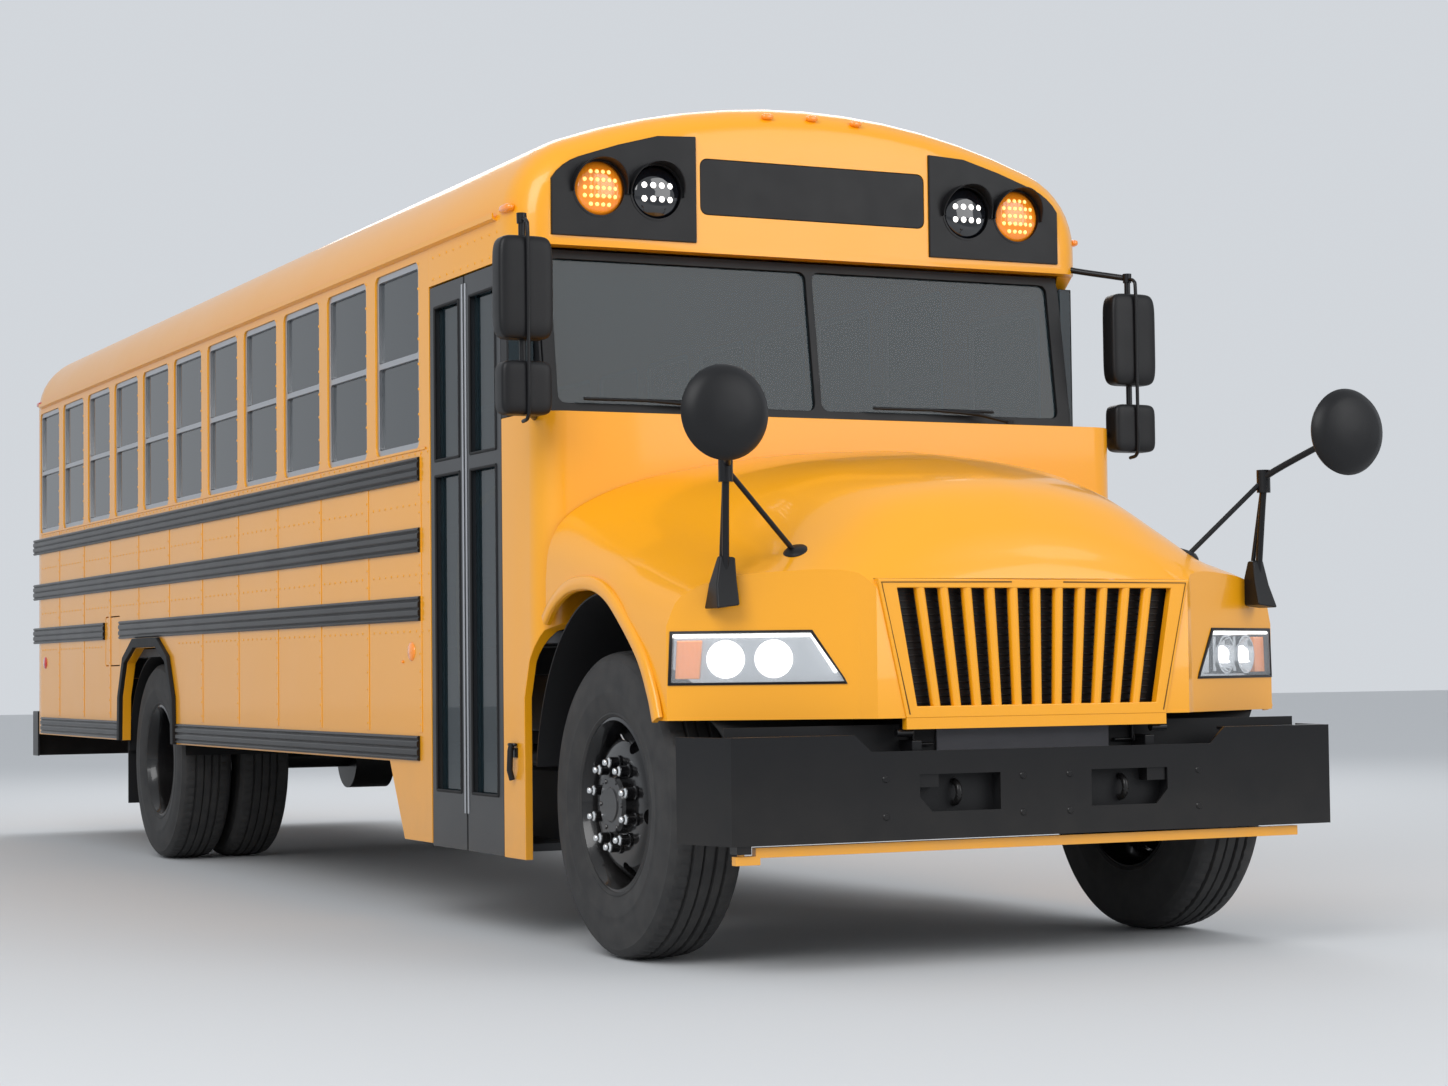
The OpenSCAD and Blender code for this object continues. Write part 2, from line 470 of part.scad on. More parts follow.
// ---------------------------------------------------------------- bumpers
notch = 650;
function bumper_front() = let (w = 1145, z0 = bumper_top - bumper_h) [[-w, z0], [w, z0], [w, bumper_top], [notch + 60, bumper_top],
  [notch, 708], [-notch, 708], [-notch - 60, bumper_top], [-w, bumper_top]];
module front_bumper() color("black") {
  z0 = bumper_top - bumper_h;
  difference() {
    translate([bumper_x - 10, 0, 0]) rotate([90, 0, 90]) linear_extrude(10) polygon(bumper_front());
    both_sides() translate([bumper_x - 50, 0, 0]) rotate([90, 0, 90]) linear_extrude(100)
      polygon([[175, 512], [430, 512], [475, 560], [475, 632], [175, 632]]);
  }
  box([bumper_x - 60, -1120, z0], [bumper_x - 10, 1120, z0 + 10]);
  both_sides() {
    box([bumper_x - 60, notch + 70, bumper_top - 10], [bumper_x - 10, 1120, bumper_top]);
    translate([0, 0, z0]) linear_extrude(bumper_h) polygon([[bumper_x, 1145], [640, 1213], [640, 1203], [bumper_x - 10, 1135]]);
    box([bumper_x - 60, rail_y - 30, 590], [bumper_x - 10, rail_y + 44, 700]);
  }
  difference() {
    box([bumper_x - 60, -1125, z0 - 25], [bumper_x - 8, -1075, z0]);
    translate([bumper_x - 34, -1100, z0 - 30]) cylinder(r = 12.05, h = 60);
  }
}
module crossing_arm() color("gold") translate([bumper_x - 34, -1100, bumper_top - bumper_h]) {
  translate([0, 0, -40]) cylinder(r = 12, h = 38);
  box([-14, -24, -60], [14, 62, -32]);
  box([-14, 46, -33], [14, 62, -6]);
  box([-14, 61, -38], [14, 2120, -6]);
}
module rear_bumper() color("black") {
  box([tail_x, -1200, 480], [tail_x + 12, 1200, 760]);
  both_sides() {
    box([tail_x + 12, 1188, 480], [rear_x - 1, 1200, 760]);
    box([tail_x + 12, rail_y - 80, 560], [rear_x + 40 - seam, rail_y, 760]);
  }
  box([tail_x + 12, -1188, 748], [rear_x - 1, 1188, 760]);
}

// ---------------------------------------------------------------- hood
// half sections [y, z] from the outside bottom to the middle
hood_base = 812;
hood_stations = [
  [dash_x + 8, [[1205, 0], [1205, 1300], [1190, 1420], [1130, 1520], [1000, 1600], [800, 1670], [500, 1730], [250, 1765], [0, 1780]]],
  [-200, [[1205, 0], [1205, 1250], [1185, 1370], [1110, 1450], [960, 1530], [760, 1640], [480, 1715], [240, 1750], [0, 1765]]],
  [100, [[1205, 0], [1205, 1190], [1180, 1310], [1080, 1390], [900, 1460], [700, 1590], [470, 1680], [240, 1718], [0, 1735]]],
  [350, [[1200, 0], [1200, 1130], [1165, 1250], [1050, 1330], [860, 1400], [660, 1530], [460, 1630], [240, 1672], [0, 1690]]],
  [640, [[1180, 0], [1180, 1110], [1130, 1200], [1000, 1270], [820, 1330], [640, 1430], [450, 1530], [240, 1580], [0, 1600]]],
  [780, [[1150, 0], [1150, 1090], [1090, 1160], [960, 1215], [790, 1265], [620, 1330], [440, 1400], [230, 1450], [0, 1470]]],
  [850, [[1120, 0], [1120, 1080], [1060, 1120], [930, 1160], [770, 1200], [600, 1250], [430, 1285], [220, 1312], [0, 1325]]],
  [880, [[1100, 0], [1100, 1070], [1040, 1105], [910, 1135], [750, 1165], [590, 1195], [420, 1220], [220, 1235], [0, 1242]]]];
function full_ring(x, half, t) = let (h = [for (p = half) [max(p[0] - t, 0), p[1] == 0 ? hood_base - (t > 0 ? 5 : 0) : p[1] - t]], n = len(h))
  [for (p = concat(h, [for (i = [n - 2:-1:0]) [-h[i][0], h[i][1]]])) [x, p[0], p[1]]];
function hood_plan(g) = let (o = [[dash_x + 8 - g * 2, 1206 - g], [470, 1206 - g], [520 - g * 0.4, 1198 - g], [820 - g, 640 - g * 0.4],
  [860 - g, 600], [872 - g, 300], [875 - g, 0]]) concat(o, [for (i = [5:-1:0]) [o[i][0], -o[i][1]]]);
module hood_body(t) intersection() {
  loft([for (s = hood_stations) full_ring(s[0] - (t > 0 && s[0] < -300 ? 1 : 0), s[1], t)]);
  translate([0, 0, 700]) linear_extrude(1200) polygon(hood_plan(t));
}
grille_top = 1262;
function grille_frame(g) = [[-500 - g, 812 - g * 3], [500 + g, 812 - g * 3], [600 + g, grille_top + g], [-600 - g, grille_top + g]];
module on_lamp_face() both_sides() translate([520, 1198, 0]) rotate([0, 0, atan2(-558, 300)]) children();
function lamp_face(g) = [[12 - g, 925 - g], [592 + g * 2, 925 - g], [582 + g, 945], [480 + g, 1100 + g], [20 - g, 1100 + g]];
module hood() color("orange") difference() {
  hood_body(0);
  hood_body(hood_t);
  both_sides() side_plate([[-500, 700], [-500, 1139], [-466, 1139], [-400, 1190], [-300, 1232], [-200, 1250], [-60, 1248],
    [60, 1215], [175, 1144], [337, 1010], [420, 890], [458, 805], [470, 700]], 900, 500);
  front_plate(grille_frame(seam), 1300, 1700);
  on_lamp_face() side_plate(lamp_face(seam), -60, 100);
}
module grille() color("orange") {
  translate([838, 0, 0]) rotate([90, 0, 90]) linear_extrude(32) difference() {
    polygon(grille_frame(0));
    for (i = [0:11]) let (a = (i - 5.5) / 6, k = 0.066) polygon([[(a - k) * 460, 850], [(a + k) * 460, 850],
      [(a + k) * 528, 1232], [(a - k) * 528, 1232]]);
  }
  translate([812, 0, 0]) rotate([90, 0, 90]) linear_extrude(6) polygon([[-480, 830], [480, 830], [560, 1245], [-560, 1245]]);
  box([812, -500, 812], [838, 500, 832]);
  box([840, -500, 776], [868, 500, 812]);
}
module headlamps() color("white") on_lamp_face() side_plate(lamp_face(0), -50, 52);
hinge_x = 830;
hinge_z = 765;
module hood_hinges() color("dimgray") both_sides() {
  translate([hinge_x, 460, hinge_z]) rotate([-90, 0, 0]) cylinder(r = 14, h = 60);
  box([hinge_x - 10, 470, hinge_z], [hinge_x + 10 - seam, 500, 812 - 0.2]);
}
module crossover_mirrors() color("black") difference() {
  both_sides() {
    translate([mirror_x, 1190, 1770]) rotate([0, 90, 0]) rotate_extrude()
      polygon([[0, -50], [65, -44], [120, -22], [cross_r, 10], [cross_r - 4, 26], [0, 30]]);
    rod([660, 1040, 1262], [690, 1050, 1640], 13, $fn = 12);
    rod([689, 1050, 1612], [mirror_x - 18, 1190, 1770], 12, $fn = 12);
    rod([620, 760, 1356], [688, 1042, 1600], 10, $fn = 12);
    box([600, 1010, 1180], [705, 1075, 1300]);
    translate([620, 760, 1322]) cylinder(r = 50, h = 44);
  }
  hood_body(0);
}

// ---------------------------------------------------------------- doors
mid_x = (door_x0 + door_x1) / 2;
module leaf_panel(x0, x1) difference() {
  box([x0, -hw + 2, door_z], [x1, -hw + 2 + leaf_t, header_z - run]);
  for (z = leaf_panes) box([x0 + 55, -hw - 10, z[0]], [x1 - 55, -hw + 100, z[1]]);
}
leaf_panes = [[520, 1740], [1800, 2400]];
module leaf_glass(x0, x1) color("lightblue", 0.4) for (z = leaf_panes)
  box([x0 + 55 + 0.2, -hw + 2 + leaf_t / 2, z[0] + 0.2], [x1 - 55 - 0.2, -hw + 2 + leaf_t / 2 + glass_t, z[1] - 0.2]);
module door_leaf_front() color("dimgray") leaf_panel(mid_x + 6, door_x1 - run);
module door_glass_front() leaf_glass(mid_x + 6, door_x1 - run);
module door_leaf_rear() color("dimgray") leaf_panel(door_x0 + run, mid_x - 6);
module door_glass_rear() leaf_glass(door_x0 + run, mid_x - 6);
module rear_slab(points, x0, t) translate([rear_x + x0, 0, 0]) rotate([90, 0, 90]) linear_extrude(t) polygon(points);
rear_panes = [[1240, 1700], [1830, 2440]];
module rear_door() color("orange") difference() {
  rear_slab(round_rect(-rear_door_w / 2, rear_door_w / 2, rear_door_z0, rear_door_z1, 15), 1, 40);
  for (z = rear_panes) rear_slab(round_rect(-250, 250, z[0], z[1], 40), -50, 200);
}
module rear_door_glass() color("lightblue", 0.4) for (z = rear_panes)
  rear_slab(round_rect(-249.8, 249.8, z[0] + 0.2, z[1] - 0.2, 40), 18, glass_t);
arm_x = door_x0 - 320;
module stop_arm() color("red") translate([arm_x, hw + 62, 1642]) {
  translate([0, 0, -80]) cylinder(r = 10, h = 156);
  box([-60, -4, -55], [0, 4, 55]);
  translate([-280, 0, 0]) rotate([90, 0, 0]) rotate([0, 0, 22.5]) cylinder(r = 244, h = 8, center = true, $fn = 8);
}
module fuel_door() color("orange")
  side_plate(round_rect(fuel_x0 + run, fuel_x1 - run, fuel_z0 + run, fuel_z1 - run, 14), -hw + 1, 11);

// ---------------------------------------------------------------- mirrors and cabin
module mirror_head(x, y, z0, z1, w) translate([x, y, z0]) linear_extrude(z1 - z0)
  polygon(round_rect(-60, 45, -w / 2, w / 2, 40));
module side_mirrors() color("black") difference() {
  mirror_frames();
  translate([0, 0, 300]) linear_extrude(cowl_top - 300) polygon(cowl_plan(-seam));
  cap_outside(-seam);
}
module mirror_frames() for (s = [-1, 1]) {
  x = s < 0 ? -360 : -560;
  y = s * (hw + 110);
  z = s < 0 ? 2135 : 2080;
  rod([x, y, 1880], [x, y, z + 440], 12);
  mirror_head(x + 20, y, z, z + 365, 205);
  mirror_head(x + 20, y, z - 265, z - 75, 190);
  rod([x, y, 1900], [-600, s * (hw - 40), 1880], 12);
  rod([x, y, z + 430], [-740, s * (hw - 70), 2570], 12);
}
wheel_hub = [-960, 620, 1810];                    // middle of the steering wheel
wheel_lean = 35;                                  // its column's lean from upright
module dashboard() color("dimgray") {
  let (d = [-sin(wheel_lean), 0, cos(wheel_lean)]) rod(wheel_hub - d * 238, wheel_hub - d * 41, 32);
  box([-700, -300, floor_z + seam], [dash_x - 45, 1100, 1780]);
  box([-820, 250, 1500], [-700, 1000, 1760]);
}
module steering_wheel() color("black") {
  translate(wheel_hub) rotate([0, -wheel_lean, 0]) {
    rotate_extrude($fn = 64) translate([215, 0]) circle(r = 15, $fn = 24);
    for (a = [0:120:240]) rotate([0, 0, a + 90]) box([0, -14, -8], [208, 14, 6]);
    cylinder(r = 45, h = 70, center = true);
  }
}
module seat(w, back) {
  box([0, 0, 250], [430, w, 420]);
  box([-90, 0, 250], [-seam, w, back]);
}
module legs(w) for (y = [60, w - 90]) box([30, y, 0], [390, y + 30, 250]);
module driver_seat() color("gray") translate([-1640, 390, floor_z]) seat(480, 1050);
module at_seats() for (i = [0:window_count - 2]) both_sides()
  translate([windows_x - 560 - i * window_pitch, hw - wall - 20 - 800, floor_z]) children();
module passenger_seats() color("brown") at_seats() seat(800, 960);
module seat_legs() color("dimgray") {
  at_seats() legs(800);
  translate([-1640, 390, floor_z]) legs(480);
}

// ---------------------------------------------------------------- pieces
place() frame_rails();
place() engine();
place() radiator();
place() front_axle();
place() rear_axle();
place() leaf_springs();
place() fuel_tank();
place() exhaust();
place() floor();
place() left_wall();
place() right_wall();
place() roof();
place() rear_wall();
place() front_cap();
place() cowl();
place() windshield_frame();
place() windshield();
place() window_sashes();
place() window_glass();
place() rub_rails();
place() wheel_arch_trim();
place() lamp_panels();
place() amber_lamps();
place() red_lamps();
place() front_bumper();
place() rear_bumper();
place() side_mirrors();
place() wipers();
place() dashboard();
place() driver_seat();
place() passenger_seats();
place() seat_legs();
place() entry_steps();
place() hood();
place() grille();
place() headlamps();
place() hood_hinges();
place() crossover_mirrors();
place() knuckle(1);  // knuckle_left
place() knuckle(-1);  // knuckle_right
place() at_wheel(0, track_half, 1) tyre();  // tyre_front_left
place() front_rim(1);  // rim_front_left
place() at_wheel(0, track_half, -1) tyre();  // tyre_front_right
place() front_rim(-1);  // rim_front_right
place() twin_tyres(1);  // tyres_rear_left
place() twin_rims(1);  // rims_rear_left
place() twin_tyres(-1);  // tyres_rear_right
place() twin_rims(-1);  // rims_rear_right
place() door_leaf_front();
place() door_glass_front();
place() door_leaf_rear();
place() door_glass_rear();
place() rear_door();
place() rear_door_glass();
place() stop_arm();
place() crossing_arm();
place() fuel_door();
place() roof_hatch(hatch_x[0]);  // roof_hatch_front
place() roof_hatch(hatch_x[1]);  // roof_hatch_rear
place() steering_wheel();
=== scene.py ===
"""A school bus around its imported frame: smooth panels, tread, glass, lamps, seats and small trim."""

import json
import math

import bmesh
import bpy
import numpy as np
from mathutils import Matrix, Vector


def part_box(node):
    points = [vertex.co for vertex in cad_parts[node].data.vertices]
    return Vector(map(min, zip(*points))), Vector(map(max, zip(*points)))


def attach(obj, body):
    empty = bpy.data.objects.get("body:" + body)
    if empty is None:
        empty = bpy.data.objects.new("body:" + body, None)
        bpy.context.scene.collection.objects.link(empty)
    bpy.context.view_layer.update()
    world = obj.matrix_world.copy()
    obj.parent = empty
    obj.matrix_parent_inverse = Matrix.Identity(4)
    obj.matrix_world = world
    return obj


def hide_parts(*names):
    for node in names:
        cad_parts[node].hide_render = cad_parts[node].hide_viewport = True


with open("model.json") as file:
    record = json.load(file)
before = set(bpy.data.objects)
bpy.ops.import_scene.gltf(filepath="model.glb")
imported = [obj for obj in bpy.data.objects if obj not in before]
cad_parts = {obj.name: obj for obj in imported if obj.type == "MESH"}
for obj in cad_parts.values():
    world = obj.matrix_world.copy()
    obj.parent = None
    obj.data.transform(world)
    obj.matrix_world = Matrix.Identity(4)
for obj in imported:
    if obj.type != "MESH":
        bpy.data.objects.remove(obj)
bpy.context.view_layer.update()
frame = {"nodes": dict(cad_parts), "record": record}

bl_info = {
    "name": "School bus",
    "version": (1, 0, 0),
    "blender": (4, 5, 0),
    "location": "View3D > Sidebar > School bus",
    "description": "Builds the finished school bus around its frame",
    "category": "Object",
}

TURN = 2 * math.pi
BODY_OF = {node: body for body, nodes in frame["record"]["behaviour"]["bodies"].items() for node in nodes}
SLOT_OF = {row["node"]: row["material_slot"] for row in frame["record"]["subparts"]}


def corners(node):
    """Lowest and highest corner of a CAD node as arrays."""
    low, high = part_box(node)
    return np.array(low, float), np.array(high, float)


def middle(node):
    """Middle of a CAD node's box."""
    low, high = corners(node)
    return (low + high) / 2


FRONT_AXLE = middle("tyre_front_left")[0]
REAR_AXLE = middle("tyres_rear_left")[0]
HUB_Z = middle("tyre_front_left")[2]
TYRE_R = (corners("tyre_front_left")[1] - corners("tyre_front_left")[0])[0] / 2
SIDE_Y = corners("cowl")[1][1]
BODY_REAR = corners("rear_wall")[0][0]
CAP_FRONT = corners("front_cap")[1][0]
DOOR_X = (corners("door_leaf_rear")[0][0], corners("door_leaf_front")[1][0])
# warning lamps: height, and distance of each pair from the middle
LAMP_Z = 2.75
INNER_LAMP, OUTER_LAMP = 0.665, 0.895
# roof: radius of the crown's arc, half the width of its sheets, half the width of a hatch's gap
CROWN_RADIUS = 2.885
SHEET_HALF = 0.80
GAP_HALF = 0.345
# side windows: from the doorway to the first pillar's middle, and from pillar to pillar
FIRST_PILLAR = 0.183 + 0.006 - 0.0585
WINDOW_PITCH = 0.655
# the tyre's half width, the lamp cover's share of its outline, and the radius of the wheel's bolt circle
TYRE_HALF = 0.14
COVER_SHARE = (0.962, 0.90)
BOLT_CIRCLE = 0.143


# ---------------------------------------------------------------- properties
class BusSizes(bpy.types.PropertyGroup):
    """Sizes that a user would change."""

    edge: bpy.props.FloatProperty(
        name="Panel edge", description="Radius on the edges of pressed panels", default=0.003, unit="LENGTH"
    )
    rivet: bpy.props.FloatProperty(
        name="Rivet radius", description="Radius of a rivet's head", default=0.006, unit="LENGTH"
    )
    rivet_pitch: bpy.props.FloatProperty(
        name="Rivet pitch", description="Distance between rivets", default=0.075, unit="LENGTH"
    )
    tread_depth: bpy.props.FloatProperty(
        name="Tread depth", description="Depth of the grooves in the tyres", default=0.012, unit="LENGTH"
    )
    lens: bpy.props.FloatProperty(
        name="Lens", description="Focal length of the camera in millimetres", default=69.97
    )


class BusColours(bpy.types.PropertyGroup):
    """Colours that a user would change."""

    yellow: bpy.props.FloatVectorProperty(
        name="Body", description="Paint of the body", default=(0.93, 0.385, 0.004), subtype="COLOR"
    )
    black: bpy.props.FloatVectorProperty(
        name="Black", description="Paint of bumpers, rails and wheels", default=(0.006, 0.006, 0.007),
        subtype="COLOR"
    )
    amber: bpy.props.FloatVectorProperty(
        name="Amber", description="Amber lenses", default=(0.90, 0.26, 0.01), subtype="COLOR"
    )
    red: bpy.props.FloatVectorProperty(
        name="Red", description="Red lenses and the stop arm", default=(0.55, 0.012, 0.012), subtype="COLOR"
    )
    seat: bpy.props.FloatVectorProperty(
        name="Seats", description="Covering of the seats", default=(0.035, 0.06, 0.10), subtype="COLOR"
    )


def sizes():
    """The sizes group on the scene."""
    return bpy.context.scene.bus_sizes


def colours():
    """The colours group on the scene."""
    return bpy.context.scene.bus_colours


# ---------------------------------------------------------------- materials
class Value:
    """A socket that takes part in sums: each operator adds one Math node."""

    def __init__(self, tree, socket):
        """Keeps the finish it belongs to and the socket that gives it."""
        self.tree, self.socket = tree, socket

    def maths(self, operation, other=None, swap=False):
        """This value and another through one Math node."""
        inputs = [self, other] if not swap else [other, self]
        return self.tree.node("ShaderNodeMath", {"operation": operation}, dict(enumerate(inputs)))

    def __add__(self, other):
        """The sum of the two."""
        return self.maths("ADD", other)

    def __sub__(self, other):
        """This value less the other."""
        return self.maths("SUBTRACT", other)

    def __mul__(self, other):
        """The two multiplied."""
        return self.maths("MULTIPLY", other)

    def __rsub__(self, other):
        """The other less this value."""
        return self.maths("SUBTRACT", other, swap=True)

    def clamp(self):
        """This value kept between 0 and 1."""
        return self.tree.node("ShaderNodeClamp", {}, {0: self})


class Finish:
    """A material being written: its shader, its nodes and its links."""

    def __init__(self, name, colour, roughness, metallic=0.0, **sockets):
        """Makes the material and sets its shader; other sockets are named with _ for a space."""
        self.material = bpy.data.materials.new(name)
        self.material.use_nodes = True
        self.nodes = self.material.node_tree.nodes
        self.links = self.material.node_tree.links
        self.shader = self.nodes["Principled BSDF"]
        self.set("Base Color", (*colour, 1.0))
        self.set("Roughness", roughness)
        self.set("Metallic", metallic)
        for socket, value in sockets.items():
            self.set(socket.replace("_", " "), value)
        self.material.diffuse_color = (*colour, 1.0)

    def node(self, kind, settings, inputs, output=0):
        """Adds a node, sets its settings, then the values or links of its sockets."""
        node = self.nodes.new(kind)
        for key, value in settings.items():
            setattr(node, key, value)
        for key, value in inputs.items():
            if isinstance(value, Value):
                self.links.new(value.socket, node.inputs[key])
            elif value is not None:
                node.inputs[key].default_value = value
        return Value(self, node.outputs[output])

    def set(self, socket, value):
        """Sets or links one of the shader's sockets."""
        if isinstance(value, Value):
            self.links.new(value.socket, self.shader.inputs[socket])
        else:
            self.shader.inputs[socket].default_value = value

    def place(self):
        """Object coordinates."""
        return self.node("ShaderNodeTexCoord", {}, {}, "Object")

    def height(self):
        """Height above the ground."""
        return self.node("ShaderNodeSeparateXYZ", {}, {0: self.place()}, "Z")

    def noise(self, scale, detail=3.0):
        """Cloudy noise from 0 to 1."""
        return self.node("ShaderNodeTexNoise", {}, {"Vector": self.place(), "Scale": scale,
                                                    "Detail": detail}, 0)

    def mix(self, amount, first, second):
        """Two colours mixed by an amount."""
        return self.node(
            "ShaderNodeMix", {"data_type": "RGBA"}, {0: amount, 6: (*first, 1.0), 7: (*second, 1.0)}, 2
        )

    def bump(self, height, strength, distance):
        """Small relief from a height value."""
        self.set(
            "Normal",
            self.node("ShaderNodeBump", {}, {"Height": height, "Strength": strength, "Distance": distance}),
        )
        return self


FINISHES = {}


def paint(name, colour, roughness, coat, dust, shine=0.5):
    """Paint with a clear coat, a little road dust low down and uneven gloss.

    shine sets how much it mirrors."""
    finish = Finish(name, colour, roughness, Coat_Weight=coat, Coat_Roughness=0.06,
                    Specular_IOR_Level=shine)
    low = (1.15 - finish.height() * 1.5).clamp() * finish.noise(7.0) * dust
    finish.set("Base Color", finish.mix(low, colour, (0.30, 0.25, 0.19)))
    finish.set("Roughness", (finish.noise(3.0) * 0.10 + (roughness - 0.05) + low * 0.5).clamp())
    return finish.material


def grained(name, colour, roughness, grain, depth, metallic=0.0):
    """Moulded or cast stuff with a fine grain in relief."""
    finish = Finish(name, colour, roughness, metallic, Specular_IOR_Level=0.3)
    finish.bump(finish.noise(grain, 4.0), 0.35, depth)
    finish.set("Roughness", finish.noise(9.0) * 0.14 + (roughness - 0.07))
    return finish.material


def glass(name, colour, alpha, rough=0.02):
    """Thin glass that shows what is behind it and mirrors its surroundings."""
    finish = Finish(name, colour, rough, Alpha=alpha, Coat_Weight=0.3, Coat_Roughness=0.01,
                    Specular_IOR_Level=0.35)
    finish.material.surface_render_method = "BLENDED"
    return finish.material


def lens(name, colour, glow=0.0):
    """Moulded lens with fine vertical ribs and a glow of the given strength: the lamps' own light, but
    painted light on the side reflectors.
    """
    finish = Finish(name, colour, 0.12, Coat_Weight=1.0, Coat_Roughness=0.03)
    wave = finish.node("ShaderNodeTexWave", {"bands_direction": "Y"},
                       {"Vector": finish.place(), "Scale": 22.0})
    finish.bump(wave, 0.25, 0.002)
    if glow:
        finish.set("Emission Color", (*colour, 1.0))
        finish.set("Emission Strength", glow)
    return finish.material


def tyre_rubber(name):
    """Black rubber with grey dust in cloudy patches."""
    finish = Finish(name, (0.022, 0.022, 0.023), 0.72)
    grey = finish.noise(14.0, 6.0)
    finish.set("Base Color", finish.mix((grey * 1.4 - 0.35).clamp() * 0.5, (0.018, 0.018, 0.019),
                                        (0.075, 0.07, 0.064)))
    finish.bump(finish.noise(160.0), 0.2, 0.001)
    return finish.material


def make_materials():
    """Every finish by its record slot's name, with a few more for small pieces."""
    tint = colours()
    yellow, black = tuple(tint.yellow), tuple(tint.black)
    FINISHES.update({
        "yellow_paint": paint("yellow_paint", yellow, 0.33, 0.45, 0.45),
        "black_paint": paint("black_paint", black, 0.34, 0.22, 0.10, 0.2),
        "wheel_black": paint("wheel_black", (0.004, 0.004, 0.005), 0.24, 0.45, 0.06, 0.3),
        "lamp_dark": Finish("lamp_dark", (0.004, 0.005, 0.008), 0.06, Coat_Weight=1.0,
                            Coat_Roughness=0.02).material,
        "white_paint": paint("white_paint", (0.76, 0.77, 0.77), 0.35, 0.4, 0.0),
        "red_paint": paint("red_paint", tuple(tint.red), 0.35, 0.4, 0.0),
        "door_metal": paint("door_metal", (0.014, 0.016, 0.019), 0.34, 0.2, 0.12, 0.3),
        "black_plastic": grained("black_plastic", (0.007, 0.007, 0.008), 0.42, 260.0, 0.0006),
        "trim_rubber": grained("trim_rubber", (0.010, 0.010, 0.011), 0.60, 180.0, 0.001),
        "tyre_rubber": tyre_rubber("tyre_rubber"),
        "sash_aluminium": grained("sash_aluminium", (0.50, 0.51, 0.53), 0.38, 90.0, 0.0003, 1.0),
        # window_tint and clear_glass are near black and mostly opaque: partly the glass's tint, partly
        # painted shade standing for the dark interior behind
        "window_tint": glass("window_tint", (0.010, 0.017, 0.022), 0.93),
        "clear_glass": glass("clear_glass", (0.012, 0.024, 0.030), 0.70),
        # amber_lens and red_lens glow faintly: light on the lamps, painted light on the side reflectors,
        # which are no lamps
        "amber_lens": lens("amber_lens", tuple(tint.amber), 0.15),
        "red_lens": lens("red_lens", tuple(tint.red), 0.1),
        "lamp_clear": glass("lamp_clear", (0.80, 0.84, 0.88), 0.16),
        "lamp_lit": lens("lamp_lit", (1.0, 0.98, 0.94), 2.2),
        "amber_lit": lens("amber_lit", (1.0, 0.55, 0.12), 1.2),
        "chrome": Finish("chrome", (0.78, 0.79, 0.80), 0.10, 1.0).material,
        "floor_vinyl": grained("floor_vinyl", (0.05, 0.052, 0.056), 0.6, 60.0, 0.001),
        "seat_vinyl": grained("seat_vinyl", tuple(tint.seat), 0.45, 130.0, 0.0015),
        "engine_iron": grained("engine_iron", (0.10, 0.10, 0.11), 0.5, 30.0, 0.002, 0.6),
        "tank_steel": grained("tank_steel", (0.22, 0.22, 0.23), 0.45, 30.0, 0.001, 0.8),
        "mirror_face": Finish("mirror_face", (0.62, 0.66, 0.70), 0.03, 1.0).material,
        "grab_yellow": Finish("grab_yellow", (0.80, 0.56, 0.02), 0.35).material,
        # painted shade: the yellow paint darkened, for the line in the grille's groove
        "seam_painted_shade": Finish("seam_painted_shade", (0.10, 0.05, 0.01), 0.8).material,
    })


# ---------------------------------------------------------------- surfaces
def quads(rows, columns, wrap_rows=False, wrap_columns=False):
    """Corner numbers of the quads on a grid of points, row by row."""
    row = np.arange(rows if wrap_rows else rows - 1)[:, None]
    column = np.arange(columns if wrap_columns else columns - 1)[None, :]
    after_row, after_column = (row + 1) % rows, (column + 1) % columns
    corner = [row * columns + column, after_row * columns + column,
              after_row * columns + after_column, row * columns + after_column]
    return np.stack([np.broadcast_to(c, (row.size, column.size)) for c in corner], -1).reshape(-1, 4)


